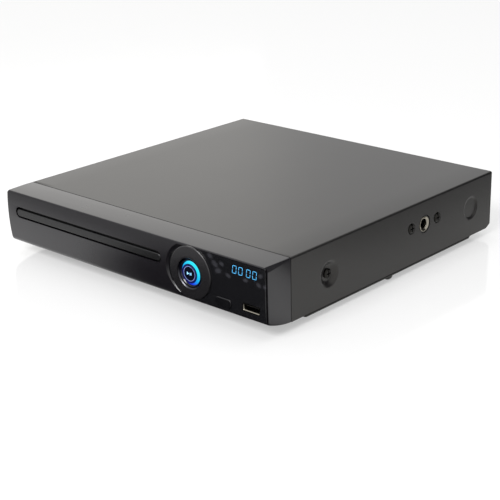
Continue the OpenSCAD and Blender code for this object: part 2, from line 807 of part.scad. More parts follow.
function main_points() = [[-half_w + 12, rear_y - main_d + 5], [-half_w + 12, rear_y - 8],
    [main_x1 - 16, rear_y - main_d + 5], [main_x1 - 6, rear_y - 8]];
function power_points() = [for (x = [power_board_x0 + 4 * spread, half_w - board_in - 4.5],
    y = [rear_y - 8, rear_y - power_board_d + 6]) [x, y]];
function frame_points() = [for (sx = [-1, 1], y = [lip_y + 6, frame_y1 - 6])
    [disc_x + sx * (frame_in - 5), y]];
function foot_points() = [for (sx = [-1, 1], y = [crown + 46, back - 34]) [sx * (half_w - 19), y]];

// Openings in the rear wall
module rear_cuts() {
    for (i = [0:2]) bar_y(phono_x + i * phono_pitch, phono_z, 5.3, rear_y - 3, rear_y + 1);
    bar_y(coax_x, phono_z, 5.3, rear_y - 3, rear_y + 1);
    facing(rear_y - 3, rear_y + 1) translate([video_x, main_z + board_t + 3.3]) square([15.6, 6.2],
        center = true);
    facing(rear_y - 3, rear_y + 1) translate([inlet_x, inlet_z]) soft_rect(inlet_w + 0.6, inlet_h + 0.6, 2);
    for (x = rear_screw_x()) bar_y(x, rear_screw_z, pilot_r, rear_y - 3, rear_y + 1);
    // air slots between the video socket and the inlet
    for (i = [0:7]) facing(rear_y - 3, rear_y + 1) translate([video_x + 20 + i * 4.4, z0 + 20])
        rotate(90) stadium(18, 2.2);
}

module rubber_feet() {
    color("#111111") for (f = foot_points()) translate([f[0], f[1], 0]) {
        rotate_extrude() polygon([[0, 0], [foot_r - 0.8, 0], [foot_r, 0.8], [foot_r, foot_h], [0, foot_h]]);
        // stem and barb that snap into the pan
        cylinder(h = pan_top + 0.3, r = 2.1);
        translate([0, 0, pan_top + 0.2]) cylinder(h = 1.6, r1 = 2.9, r2 = 1.6);
    }
}

// ---------- loader ----------

front_z = foot_z + 1.8;                        // top of the raised floor over the pan's front tongue

// Stations of the two posts that carry the tray gear's axle
function axle_posts() = [pulley_x - pulley_w / 2 - 2.3, rack_x + gear_w / 2 + 0.6];

module loader_frame() {
    hook_z = tray_top + clear;
    color("#1c1c1e") difference() {
        union() {
            for (side = [-1, 1]) translate([disc_x, 0, 0]) mirror([side < 0 ? 1 : 0, 0, 0]) {
                block([frame_in, frame_y0, foot_z], [frame_in + frame_t, frame_y1, frame_top]);
                block([frame_in, lip_y + 1.5, frame_z0], [frame_in + frame_t, frame_y1, foot_z + eps]);
                // foot strip and the ledge on which the tray slides
                block([frame_in - 11, lip_y + 1.5, frame_z0], [frame_in + eps, frame_y1, foot_z]);
                block([tray_w / 2 - 1.4, frame_y0, tray_z - clear - ledge_t],
                    [frame_in + eps, frame_y1, tray_z - clear]);
                // ribs under the ledge
                for (y = [frame_y0 + 50, frame_y0 + 95, frame_y1 - 12])
                    block([frame_in - 4, y, foot_z - eps], [frame_in + eps, y + 1.6, tray_z - clear - eps]);
                // hooks that hold the tray down, and a pad under each end of the clamp bridge
                for (y = [frame_y0 + 4, frame_y0 + 100, frame_y1 - 12])
                    block([tray_w / 2 - 2, y, hook_z], [frame_in + eps, y + 9, hook_z + 1.4]);
                block([well_r + 0.4, disc_y - 6, tray_top + 0.6], [frame_in + eps, disc_y + 6, frame_top]);
            }
            // floor strips from side to side
            block([disc_x - frame_in, frame_y0 + 4, foot_z], [disc_x + frame_in, frame_y0 + 14, front_z]);
            for (y = [[lip_y + 1.5, cam_y + 5], [frame_y1 - 24, frame_y1]])
                block([disc_x - frame_in, y[0], frame_z0], [disc_x + frame_in, y[1], foot_z]);
            for (side = [-1, 1]) translate([disc_x, 0, 0]) mirror([side < 0 ? 1 : 0, 0, 0])
                block([frame_in - 16, frame_y0 + 4, foot_z - eps], [frame_in + eps, lip_y + 2.5, front_z]);
            // channel that guides the cam slider
            for (x = [-28, 20]) difference() {
                block([disc_x + x, cam_y - cam_t / 2 - clear - cam_wall, foot_z - eps],
                    [disc_x + x + 8, cam_y + cam_t / 2 + clear + cam_wall, cam_top - 2]);
                block([disc_x - 60, cam_y - cam_t / 2 - clear, cam_low - clear],
                    [disc_x + 60, cam_y + cam_t / 2 + clear, cam_top + clear]);
            }
            // ears for the deck's pivots
            for (side = [-1, 1]) translate([disc_x + side * ear_x, 0, 0])
                block([-2, pivot_y - 6, foot_z - eps], [2, pivot_y + 6, tray_z - clear - 0.1]);
            for (x = axle_posts())
                block([x, tray_gear_y - 3.2, front_z - eps], [x + 1.6, tray_gear_y + 3.2, tray_gear_z + 3]);
            // cradle under the tray motor
            difference() {
                block([rack_x - 1, tray_motor_y - 7, frame_z0], [rack_x + 9, tray_motor_y + 7,
                    tray_gear_z - 3]);
                bar_x(tray_motor_y, motor_z, tray_motor_r, rack_x - 5, rack_x + 14);
            }
        }
        bar_x(tray_gear_y, tray_gear_z, axle_r, pulley_x - 8, rack_x + 8);
        for (side = [-1, 1]) bar_x(pivot_y, pivot_z, bush_r, disc_x + side * ear_x - 3,
            disc_x + side * ear_x + 3);
        for (p = frame_points()) bar_z(p[0], p[1], pass_r, frame_z0 - 1, front_z + 1);
        for (side = [-1, 1]) bar_z(disc_x + side * bridge_screw, disc_y, pilot_r, tray_top, frame_top + 1);
    }
}

motor_z = tray_gear_z - 1.6;
cam_low = pin_z - cam_drop - 3.4;
cam_top = pin_z + 3.2;
bridge_screw = frame_in - 2.2;                 // distance of the bridge's screws from the disc's centre

module cam_slider() {
    half = 42;
    color("#e8e6dc") difference() {
        block([disc_x - half, cam_y - cam_t / 2, cam_low], [disc_x + half - cam_travel, cam_y + cam_t / 2,
            cam_top]);
        // slanting slots: a pin drops as the slider moves to the right
        for (side = [-1, 1]) facing(cam_y - 3, cam_y + 3) slanted_slot(disc_x + side * pin_x);
        // openings that leave the middle and the ends light
        for (x = [-8.5, -36, 23]) facing(cam_y - 3, cam_y + 3) translate([disc_x + x,
            (cam_low + cam_top) / 2])
            square([5, cam_top - cam_low - 4], center = true);
    }
}

// Slot from the pin's upper place to where the slider brings its lower place
module slanted_slot(x) {
    r = pin_r + 0.25;
    lean = atan2(cam_drop, cam_travel);
    long = norm([cam_drop, cam_travel]);
    translate([x, pin_z]) {
        circle(r = r);
        rotate(180 + lean) translate([0, -r]) square([long, 2 * r]);
        translate([-cam_travel, -cam_drop]) circle(r = r);
    }
}

module pivot_bushes() {
    color("#3a2a24") for (side = [-1, 1]) difference() {
        bar_x(pivot_y, pivot_z, bush_r, disc_x + side * ear_x - 2, disc_x + side * ear_x + 2);
        bar_x(pivot_y, pivot_z, pivot_r + running, disc_x + side * ear_x - 3, disc_x + side * ear_x + 3);
    }
}

module clamp_bridge() {
    span = frame_in + frame_t;
    color("#b9bcc0") difference() {
        union() {
            block([disc_x - span, disc_y - bridge_d / 2, bridge_z], [disc_x + span, disc_y + bridge_d / 2,
                bridge_z + bridge_t]);
            for (side = [-1, 1]) block([disc_x - span, disc_y + side * (bridge_d / 2 - 0.6) - 0.6,
                bridge_z],
                [disc_x + span, disc_y + side * (bridge_d / 2 - 0.6) + 0.6, bridge_z + 4]);
        }
        bar_z(disc_x, disc_y, puck_neck + 1, bridge_z - 1, bridge_z + 6);
        for (sx = [-1, 1], hole = [30, 48]) bar_z(disc_x + sx * hole, disc_y, 5, bridge_z - 1,
            bridge_z + 6);
        for (sx = [-1, 1]) bar_z(disc_x + sx * bridge_screw, disc_y, pass_r, bridge_z - 1, bridge_z + 6);
    }
}

puck_neck = 9.4;

module clamp_puck() {
    low = table_z + 1.4;
    lift = bridge_z + bridge_t + clear;
    color("#e9e9e6") translate([disc_x, disc_y, 0]) rotate_extrude() polygon([[0, table_z + 4.1],
        [cone_r + 0.8, table_z + 4.1], [cone_r + 0.8, low], [puck_r - 0.5, low], [puck_r, low + 0.5],
        [puck_r, bridge_z - 0.4], [puck_neck, bridge_z - 0.4], [puck_neck, lift], [puck_r - 0.6, lift],
        [puck_r - 0.6, lift + 1.2], [4, lift + 1.9], [0, lift + 1.9]]);
}

module tray() {
    left = disc_x - tray_w / 2;
    right = disc_x + tray_w / 2;
    rear = tray_y + tray_l;
    color("#202022") difference() {
        translate([0, 0, tray_z]) linear_extrude(tray_t) difference() {
            polygon([[left + 2, tray_y], [right - 2, tray_y], [right, tray_y + 3], [right, rear - 4],
                [right - 4, rear], [left + 4, rear], [left, rear - 4], [left, tray_y + 3]]);
            // lane that is open to the rear
            translate([disc_x, disc_y]) circle(r = lane_r);
            translate([disc_x - lane_r, disc_y]) square([2 * lane_r, rear - disc_y + 1]);
        }
        bar_z(disc_x, disc_y, well_r, well_z, tray_top + 1);
        bar_z(disc_x, disc_y, small_r, well_z - small_depth, tray_top + 1);
        // finger scallops at the front corners and lightening pockets at the rear corners
        for (side = [-1, 1]) {
            translate([disc_x + side * 46, tray_y + 9, well_z]) cylinder(h = 5, r = 7);
            block([disc_x + side * 43.5 - 15, rear - 17, well_z], [disc_x + side * 43.5 + 15, rear - 3,
                tray_top + 1]);
        }
        // rack cut into the underside for the pinion
        translate([0, 0, tray_z]) across(rack_x - rack_w / 2, rack_x + rack_w / 2)
            rack_gaps(tray_gear_y, tray_y + 1, tray_gear_y + tray_travel + 6.7);
        // ribbed hollow under the floor of the large well
        translate([disc_x, disc_y, tray_z - 1]) linear_extrude(2.3) difference() {
            circle(r = well_r - 2.6);
            circle(r = small_r + 2.4);
            for (a = [0:30:150]) rotate(a) square([2 * well_r, 1.4], center = true);
            translate([rack_x - disc_x, 0]) square([rack_w + 5, 2 * well_r], center = true);
            translate([0, well_r]) square([2 * lane_r + 5, 2 * well_r], center = true);
        }
    }
}

// Half section of the door from its middle line to its round edge, as (height, depth)
function door_section(r) = concat([[0, 0], [door_h / 2, 0]], arc([door_h / 2 - r, door_t - r], r, 0, 90, 5),
    [[0, door_t]]);

// Bar with round ends and a rounded front edge
module tray_door() {
    half = door_section(0.8);
    end_x = (door_w - door_h) / 2;
    color("#29292b") translate([disc_x, tray_y, door_z + door_h / 2]) {
        for (side = [-1, 1]) translate([side * end_x, 0, 0]) rotate([90, 0, 0]) rotate_extrude()
            polygon(half);
        across(-end_x, end_x) polygon([for (p = concat(half, [for (i = [len(half) - 1:-1:1]) [-half[i][0],
            half[i][1]]]))
            [-p[1], p[0]]]);
    }
}

// Involute pinion and belt pulley moulded in one piece; a tooth gap faces no tooth of the rack
module tray_gear() {
    x0 = rack_x - gear_w / 2;
    color("#f0efe8") difference() {
        union() {
            across(x0, x0 + gear_w) translate([tray_gear_y, tray_gear_z]) gear_shape(tray_teeth, 90);
            bar_x(tray_gear_y, tray_gear_z, 3.4, pulley_x, x0 + 1);
            across(pulley_x - pulley_w / 2, pulley_x + pulley_w / 2) translate([tray_gear_y, tray_gear_z])
                circle(r = pulley_r - belt_t);
            for (x = [pulley_x - pulley_w / 2, pulley_x + pulley_w / 2 - 0.8])
                bar_x(tray_gear_y, tray_gear_z, pulley_r, x, x + 0.8);
        }
        bar_x(tray_gear_y, tray_gear_z, axle_r + running, pulley_x - 5, rack_x + 5);
    }
}

module tray_gear_axle() {
    color("silver") bar_x(tray_gear_y, tray_gear_z, axle_r, pulley_x - pulley_w / 2 - 2.3,
        rack_x + gear_w / 2 + 2.2);
}

// Outline round two pulleys of radius a (at 0) and b (at distance d and height h)
function wrap(a, b, d, h) =
    let (span = norm([d, h]), tilt = atan2(h, d), swing = asin((a - b) / span))
    concat(arc([0, 0], a, tilt + 90 - swing, tilt + 270 + swing, 18),
        arc([d, h], b, tilt - 90 + swing, tilt + 90 - swing, 12));

module drive_belt() {
    dz = motor_z - tray_gear_z;
    d = tray_motor_y - tray_gear_y;
    inner_a = pulley_r - belt_t + 0.04;
    inner_b = motor_pulley_r - belt_t + 0.04;
    color("#161616") across(pulley_x - 0.6, pulley_x + 0.6) translate([tray_gear_y, tray_gear_z])
        difference() {
        polygon(wrap(inner_a + belt_t, inner_b + belt_t, d, dz));
        polygon(wrap(inner_a, inner_b, d, dz));
    }
}

module motor_pulley() {
    color("#d9b34a") difference() {
        union() {
            bar_x(tray_motor_y, motor_z, motor_pulley_r - belt_t, pulley_x - 1.5, pulley_x + 1.5);
            for (x = [pulley_x - 1.5, pulley_x + 0.7]) bar_x(tray_motor_y, motor_z, motor_pulley_r, x,
                x + 0.8);
        }
        bar_x(tray_motor_y, motor_z, 0.6 + running, pulley_x - 3, pulley_x + 3);
    }
}

module tray_motor() {
    x0 = rack_x - 3.4;
    color("#a8abaf") intersection() {
        union() {
            bar_x(tray_motor_y, motor_z, tray_motor_r, x0, x0 + 15);
            bar_x(tray_motor_y, motor_z, 2.4, x0 - 0.8, x0 + 1);
            bar_x(tray_motor_y, motor_z, 0.6, pulley_x - 1.5, x0 + 1);
            bar_x(tray_motor_y, motor_z, 2.4, x0 + 14, x0 + 16);
        }
        // flats above and below, as on a slim motor
        block([pulley_x - 4, tray_motor_y - 10, motor_z - tray_motor_r], [x0 + 20, tray_motor_y + 10,
            tray_z - 0.6]);
    }
}

// ---------- deck ----------

module deck() {
    y0 = deck_y0;
    y1 = pivot_y - 3;
    lobe_x = sled_motor_x + sled_motor_r + 2.5;
    skirt_low = deck_z - 5.4;
    color("#5c5f63") difference() {
        union() {
            block([disc_x - deck_w, y0, deck_z], [disc_x + deck_w, y1 + 3, deck_z + deck_t]);
            block([disc_x + deck_w - 1, sled_motor_y - 9, deck_z], [lobe_x, sled_gear_y + 2,
                deck_z + deck_t]);
            // down-turned skirts at front and left stiffen the plate
            block([disc_x - deck_w, y0, skirt_low], [disc_x + deck_w, y0 + 1.6, deck_z + eps]);
            block([disc_x - deck_w, y0, skirt_low], [disc_x - deck_w + 1.6, y1, deck_z + eps]);
            // lugs that hold the rods
            for (sx = [-1, 1], y = [rod_y0, rod_y1 - 4])
                block([disc_x + sx * rod_x - 2.6, y, rod_z - 3], [disc_x + sx * rod_x + 2.6, y + 4,
                    deck_z + eps]);
            // pivot arms and pins
            for (side = [-1, 1]) {
                block([disc_x + side * 41 - 3, pivot_y - 8, pivot_z - 2.6], [disc_x + side * 41 + 3,
                    pivot_y + 2.6, deck_z + deck_t]);
                bar_x(pivot_y, pivot_z, pivot_r, disc_x + side * 45 - 4.5, disc_x + side * 45 + 4.5);
            }
            // pins that ride in the cam slider
            for (side = [-1, 1]) bar_y(disc_x + side * pin_x, pin_z, pin_r, cam_y - cam_t / 2, y0 + 1);
            bar_z(sled_gear_x, sled_gear_y, 1.4, deck_z - 10.4, deck_z + eps);
        }
        // window for the pickup
        block([disc_x - 18.4, disc_y + 14.4, deck_z - 1], [disc_x + 18.4, disc_y + 74,
            deck_z + deck_t + 1]);
        bar_z(disc_x, disc_y, 7, deck_z - 1, deck_z + deck_t + 1);
        for (a = [45:90:315]) bar_z(disc_x + 10 * cos(a), disc_y + 10 * sin(a), 1, deck_z - 1,
            deck_z + deck_t + 1);
        bar_z(sled_motor_x, sled_motor_y, sled_motor_r + 0.05, deck_z - 1, deck_z + deck_t + 1);
        for (sx = [-1, 1]) bar_y(disc_x + sx * rod_x, rod_z, rod_r, rod_y0 - 1, rod_y1 + 1);
        for (x = [-32, 30], y = [8, 60]) bar_z(disc_x + x, disc_y + y - 14, 3.2, deck_z - 1,
            deck_z + deck_t + 1);
    }
}

module guide_rods() {
    color("silver") for (sx = [-1, 1]) bar_y(disc_x + sx * rod_x, rod_z, rod_r, rod_y0 + 0.2, rod_y1 - 0.2);
}

module spindle_motor() {
    color("#9a9da1") translate([disc_x, disc_y, 0]) {
        rotate_extrude() polygon([[0, deck_z - motor_h], [motor_r - 1, deck_z - motor_h], [motor_r,
            deck_z - motor_h + 1],
            [motor_r, deck_z], [5, deck_z], [5, deck_z + 1], [spindle_r, deck_z + 1], [spindle_r,
                table_z - 2],
            [0, table_z - 2]]);
    }
}

module turntable() {
    low = deck_z + 1.2;
    color("#26262a") translate([disc_x, disc_y, 0]) rotate_extrude() polygon([[spindle_r + running, low],
        [5.5, low], [5.5, table_z - 2.4], [turntable_r, table_z - 2.4], [turntable_r, table_z - 0.4],
            [cone_r, table_z - 0.4],
        [cone_r, table_z + 1], [cone_r - 1.9, table_z + 3.3], [cone_r - 3.4, table_z + 3.6], [0,
            table_z + 3.6],
        [0, table_z - 1.9], [spindle_r + running, table_z - 1.9]]);
}

module turntable_mat() {
    color("#0e0e0e") translate([disc_x, disc_y, table_z - 0.4]) difference() {
        cylinder(h = 0.4, r = turntable_r);
        translate([0, 0, -1]) cylinder(h = 3, r = cone_r + 2);
    }
}

sled_y0 = lens_y - 10.4;
sled_y1 = lens_y + 13.4;
rack_y0 = sled_gear_y - sled_travel - 6;         // the rack reaches forward by the sled's travel
rack_y1 = sled_gear_y + 4;

module pickup_sled() {
    top = tray_top - 3.6;
    rack_top = rod_z + 2;
    color("#b4b7ba") difference() {
        union() {
            block([disc_x - rod_x + 2, sled_y0, rod_z - 3], [disc_x + rod_x - 2, sled_y1, rod_z + 1.6]);
            for (sx = [-1, 1]) bar_y(disc_x + sx * rod_x, rod_z, rod_r + 1.3, sled_y0, sled_y1);
            block([disc_x - 16, lens_y - 9, rod_z], [disc_x + 16, lens_y + 9, top]);
            // arm and body of the rack
            block([disc_x + rod_x + 2, sled_y0, rod_z - 2], [sled_rack_x - addendum - 1.2, sled_y1,
                rack_top]);
            block([sled_rack_x - 3.6, rack_y0, rod_z - 2], [sled_rack_x + addendum, rack_y1, rack_top]);
        }
        for (sx = [-1, 1]) bar_y(disc_x + sx * rod_x, rod_z, rod_r + running, sled_y0 - 1, sled_y1 + 1);
        // recess for the lens and its coils
        block([disc_x - 8.5, lens_y - 6.5, top - 3.4], [disc_x + 8.5, lens_y + 6.5, top + 1]);
        // teeth
        translate([sled_rack_x + addendum + 0.001, 0, rod_z - 3]) linear_extrude(rack_top - rod_z + 4)
            rotate([0, 0, 90]) rack_gaps(sled_gear_y, rack_y0 + 0.3, rack_y1 - 0.3);
    }
}

module pickup_lens() {
    top = tray_top - 3.6;
    low = top - 3.4;
    color("#31353c") {
        // moving holder with two coil wings, and the lens in its middle
        difference() {
            union() {
                block([disc_x - 4.6, lens_y - 5, low + 0.6], [disc_x + 4.6, lens_y + 5, top + 0.2]);
                for (sx = [-1, 1]) block([disc_x + sx * 6.1 - 1.7, lens_y - 3, low + 0.9],
                    [disc_x + sx * 6.1 + 1.7, lens_y + 3, top - 0.6]);
            }
            bar_z(disc_x, lens_y, 2.6, top - 0.6, top + 1);
        }
    }
    color("#7fa6c8") translate([disc_x, lens_y, top - 0.6]) intersection() {
        translate([0, 0, -4.2]) sphere(r = 5.4);
        cylinder(h = 2, r = 2.5);
    }
}

module sled_gear() {
    color("#f0efe8") translate([sled_gear_x, sled_gear_y, 0]) difference() {
        union() {
            translate([0, 0, rod_z - 2.4]) linear_extrude(4) gear_shape(sled_teeth, 180);
            translate([0, 0, rod_z - 5.8]) linear_extrude(2) gear_shape(wheel_teeth, wheel_phase);
            translate([0, 0, rod_z - 4]) cylinder(h = 2, r = 3.4);
        }
        translate([0, 0, rod_z - 8]) cylinder(h = 12, r = 1.4 + running);
    }
}

// The wheel has a tooth that points at the pinion, and the pinion a gap that takes it
wheel_phase = atan2(sled_motor_dy, sled_motor_dx);

module sled_pinion() {
    color("#d9b34a") translate([sled_motor_x, sled_motor_y, rod_z - 5.8]) difference() {
        linear_extrude(2.4) gear_shape(pinion_teeth, wheel_phase + 180 + 180 / pinion_teeth);
        translate([0, 0, -1]) cylinder(h = 5, r = 0.6 + running);
    }
}

module sled_motor() {
    color("#a8abaf") {
        bar_z(sled_motor_x, sled_motor_y, sled_motor_r, rod_z - 2.4, tray_z - 0.8);
        bar_z(sled_motor_x, sled_motor_y, 1.8, rod_z - 3.1, rod_z - 2);
        bar_z(sled_motor_x, sled_motor_y, 0.6, rod_z - 5.8, rod_z - 2);
    }
}

// ---------- boards and sockets ----------

module main_board() {
    color("#1f5c3a") difference() {
        block([-half_w + board_in, rear_y - main_d, main_z], [main_x1, rear_y - sheet - 0.4,
            main_z + board_t]);
        for (p = main_points()) bar_z(p[0], p[1], 1.6, main_z - 1, main_z + board_t + 1);
    }
}

module board_chips() {
    z = main_z + board_t;
    color("#1a1a1c") {
        // decoder in its flat package, memory chips, motor driver and ribbon connectors
        translate([-26, rear_y - 0.91 * main_d, z]) cube([chip, chip, 1.6]);
        translate([-4, rear_y - 0.86 * main_d, z]) cube([chip * 0.55, chip, 1.2]);
        translate([-44, rear_y - 0.8 * main_d, z]) cube([chip * 0.55, chip * 0.65, 1.8]);
    }
    color("#ece9dc") {
        block([disc_x - 8, rear_y - main_d + 0.6, z], [disc_x + 8, rear_y - main_d + 4.6, z + 2.4]);
        block([disc_x - 8, frame_y1 - 24, foot_z], [disc_x + 8, frame_y1 - 20, foot_z + 2.4]);
        block([ribbon_x - 4.5, rear_y - main_d + 0.6, z], [ribbon_x + 4.5, rear_y - main_d + 4.6, z + 2.4]);
    }
    color("#c0c0c0") for (x = [12, 20]) bar_z(x, rear_y - 0.68 * main_d, 2.5, z, z + 7);
}

module power_board() {
    color("#b58a4a") difference() {
        block([power_board_x0, rear_y - power_board_d, main_z], [half_w - board_in, rear_y - sheet - 0.4,
            main_z + board_t]);
        for (p = power_points()) bar_z(p[0], p[1], 1.6, main_z - 1, main_z + board_t + 1);
    }
}

transformer_y = rear_y - 44;

module transformer() {
    x = power_board_x0 + 19 * spread;
    coil = 8 * spread;
    core = 11 * spread;
    z = main_z + board_t;
    color("#c8a13a") block([x - coil, transformer_y - 10, z + 2], [x + coil, transformer_y + 10, z + 16]);
    color("#3c3c3e") difference() {
        block([x - core, transformer_y - 7, z], [x + core, transformer_y + 7, z + 18]);
        block([x - coil, transformer_y - 8, z + 2], [x + coil, transformer_y + 8, z + 16]);
    }
}

module capacitors() {
    z = main_z + board_t;
    // each as its place across the board and ahead of the rear wall, its radius and its height
    color("#22304a") for (c = [[40.5, 28, 7, 20], [10, 68, 5, 16], [22, 68, 5, 16], [10, 84, 4, 12], [21,
        84, 4, 12]])
        translate([power_board_x0 + c[0] * spread, rear_y - c[1], z]) difference() {
            cylinder(h = c[3], r = c[2] * sqrt(spread));
            translate([0, 0, c[3] - 0.4]) for (a = [0, 90]) rotate(a) cube([c[2] * spread, 0.5, 2],
                center = true);
        }
}

module heat_sink() {
    z = main_z + board_t;
    x = power_board_x0 + 34.5 * spread;
    y = rear_y - 48;
    color("#9fa3a6") {
        block([x, y - 8, z], [x + 1.6, y + 8, z + 20]);
        for (i = [0:4]) block([x + 1.5, y - 8 + i * 3.6, z], [x + 7 * spread, y - 6.4 + i * 3.6, z + 20]);
    }
}

module mains_inlet() {
    front = rear_y - 16;
    color("#151517") difference() {
        union() {
            facing(front, rear_y + 1) translate([inlet_x, inlet_z]) soft_rect(inlet_w, inlet_h, 1.8);
            facing(rear_y + eps, rear_y + 1) translate([inlet_x, inlet_z]) soft_rect(inlet_w + 3,
                inlet_h + 2.4, 2);
        }
        // two-lobed well, with one pin in each lobe
        facing(rear_y - 11, rear_y + 2) translate([inlet_x, inlet_z]) {
            for (sx = [-1, 1]) translate([sx * 4.3, 0]) circle(r = 4.1);
            square([9, 6.6], center = true);
        }
    }
    color("silver") for (sx = [-1, 1]) bar_y(inlet_x + sx * 4.3, inlet_z, 1.2, rear_y - 12, rear_y - 1.5);
}

module phono_block() {
    z = main_z + board_t;
    color("#18181a") difference() {
        union() {
            block([phono_x - 7, rear_y - 13, z], [phono_x + 2 * phono_pitch + 7, rear_y - sheet - clear,
                phono_z + 6]);
            block([coax_x - 7, rear_y - 13, z], [coax_x + 7, rear_y - sheet - clear, phono_z + 6]);
        }
        for (x = phono_places()) bar_y(x, phono_z, 2.4, rear_y - 9, rear_y + 1);
    }
}

function phono_places() = concat([for (i = [0:2]) phono_x + i * phono_pitch], [coax_x]);

phono_end = back + plug_reach;
core_r = phono_r - 0.75;
flange_t = 1.4;

// Sleeve of each phono socket; its coloured core and flange hold it
module phono_shells() {
    color("silver") for (x = phono_places()) difference() {
        bar_y(x, phono_z, phono_r, rear_y + flange_t + eps, phono_end);
        bar_y(x, phono_z, core_r, rear_y - 1, phono_end + 1);
    }
}

module ring_at(x, tone) {
    color(tone) difference() {
        union() {
            bar_y(x, phono_z, 5.2, rear_y - sheet - clear, rear_y + 0.3);
            bar_y(x, phono_z, core_r - eps, rear_y, phono_end - 0.6);
            bar_y(x, phono_z, 6, rear_y, rear_y + flange_t);
        }
        bar_y(x, phono_z, 1.6, rear_y + 1, phono_end);
    }
}

module yellow_ring() { ring_at(phono_x, "gold"); }
module white_ring() { ring_at(phono_x + phono_pitch, "white"); }
module red_ring() { ring_at(phono_x + 2 * phono_pitch, "crimson"); }
module orange_ring() { ring_at(coax_x, "orange"); }

// Digital video socket: a trapezoid shell with a flat tongue
module video_socket() {
    z = main_z + board_t + 3.3;
    color("silver") difference() {
        facing(rear_y - 10, rear_y + 0.8) translate([video_x, z]) trapezoid(15, 5.6);
        facing(rear_y - 8, rear_y + 2) translate([video_x, z]) trapezoid(14.2, 4.8);
    }
    color("#141414") facing(rear_y - 9, rear_y - 1) translate([video_x, z + 0.4]) square([11, 1.2],
        center = true);
    color("silver") for (sx = [-1, 1]) block([video_x + sx * 6 - 1, rear_y - 7, main_z + board_t],
        [video_x + sx * 6 + 1, rear_y - 5, z - 2]);
}

module trapezoid(w, h) {
    polygon([[-w / 2, h / 2], [w / 2, h / 2], [w / 2, 0], [w / 2 - 2, -h / 2], [-w / 2 + 2, -h / 2],
        [-w / 2, 0]]);
}

module jack_body() {
    x1 = housing_x;
    color("#161618") difference() {
        union() {
            block([x1 - 17, jack_y - 7, jack_z - 7], [x1, jack_y + 7, jack_z + 7]);
            // ears that take the two screws
            block([x1 - 4, jack_y - jack_screws / 2 - 4, jack_z - 4], [x1, jack_y + jack_screws / 2 + 4,
                jack_z + 5]);
            bar_x(jack_y, jack_z, jack_hole - 0.3, x1 - 1, half_w - 0.5);
        }
        bar_x(jack_y, jack_z, jack_nose - 0.8, x1 - 10, half_w + 1);
        bar_x(jack_y, jack_z, jack_r + 0.3, x1 - 15, half_w + 1);
        bar_x(jack_y, jack_z, jack_nose, half_w - 1.4, half_w + 1);
        for (dy = [-1, 1]) bar_x(jack_y + dy * jack_screws / 2, jack_z + 0.6, pilot_r, x1 - 5, x1 + 1);
    }
}

module jack_nose_ring() {
    color("silver") difference() {
        union() {
            bar_x(jack_y, jack_z, jack_nose - 0.85, housing_x - 9.8, half_w - 1);
            bar_x(jack_y, jack_z, jack_nose - 0.05, half_w - 1.35, half_w);
        }
        bar_x(jack_y, jack_z, jack_r, housing_x - 12, half_w + 1);
    }
}

module jack_bracket() {
    color("#2a2a2c") difference() {
        across(housing_x, bracket_x) translate([jack_y, jack_z]) soft_rect(jack_screws + 12, 15.4, 3);
        bar_x(jack_y, jack_z, jack_hole, housing_x - 1, bracket_x + 1);
        for (dy = [-1, 1]) {
            bar_x(jack_y + dy * jack_screws / 2, jack_z + 0.6, pass_r, housing_x - 1, bracket_x + 1);
            // room for the cover's pressed cups
            bar_x(jack_y + dy * jack_screws / 2, jack_z + 0.6, cup_r + 0.8,
                half_w - cup_depth - sheet - 0.1,
                bracket_x + 1);
        }
    }
}

// Pan-head screw with a cross recess, head towards +Z
module screw(long) {
    difference() {
        union() {
            cylinder(h = long, r = screw_r - 0.02);
            translate([0, 0, long]) cylinder(h = 0.9, r = head_r);
            translate([0, 0, long + 0.9]) cylinder(h = 0.7, r1 = head_r, r2 = head_r - 0.9);
        }
        translate([0, 0, long + 1.1]) for (a = [0, 90]) rotate(a) cube([3.6, 0.8, 1.6], center = true);
    }
}

module side_screws() {
    color("#8d8a80") {
        for (side = [-1, 1]) mirror([side < 0 ? 1 : 0, 0, 0])
            translate([half_w - dimple_depth - 4.4, dimple_y, dimple_z]) rotate([0, 90, 0]) screw(4.4);
        for (dy = [-1, 1]) translate([half_w - cup_depth - 5.6, jack_y + dy * jack_screws / 2,
            jack_z + 0.6])
            rotate([0, 90, 0]) screw(5.6);
    }
}

module rear_screws() {
    color("#8d8a80") for (x = rear_screw_x()) translate([x, back - lip_back - 5, rear_screw_z])
        rotate([-90, 0, 0]) screw(5);
}

module board_screws() {
    color("#c9c9c4") {
        for (p = concat(main_points(), power_points())) translate([p[0], p[1], main_z + board_t - 5])
            screw(5);
        for (p = frame_points()) translate([p[0], p[1], foot_z - 4.4]) screw(4.4);
        for (p = board_points()) translate([p[0], board_y + board_t - 5, p[1]]) rotate([-90, 0, 0])
            screw(5);
        for (sx = [-1, 1]) translate([disc_x + sx * bridge_screw, disc_y, bridge_z + bridge_t - 3.1])
            screw(3.1);
    }
}

module ribbon_cables() {
    z = main_z + board_t;
    rear_of_board = board_y + board_t;
    ribbon_z = dial_z - 12.5 * fit + 6.4;      // above the front board's screw
    color("#dcdcd6") {
        // from the main board forward to the front board, beside the loader
        across(ribbon_x - 4, ribbon_x + 4) polygon([[rear_of_board, ribbon_z], [rear_of_board + 4,
            ribbon_z],
            [rear_of_board + 7, z - 3.5], [rear_y - main_d - 6, z - 3.5], [rear_y - main_d + 0.6, z + 1.1],
            [rear_y - main_d + 0.6, z + 0.6], [rear_y - main_d - 5.8, z - 4], [rear_of_board + 6.6, z - 4],
            [rear_of_board + 3.6, ribbon_z - 0.5], [rear_of_board, ribbon_z - 0.5]]);
        // from the main board to the rear of the loader
        across(disc_x - 7, disc_x + 7) polygon([[frame_y1 - 20, foot_z], [frame_y1 + 1, foot_z],
            [rear_y - main_d + 0.6, z + 0.6], [rear_y - main_d + 0.6, z + 1.1],
            [frame_y1 + 0.8, foot_z + 0.5], [frame_y1 - 20, foot_z + 0.5]]);
    }
}

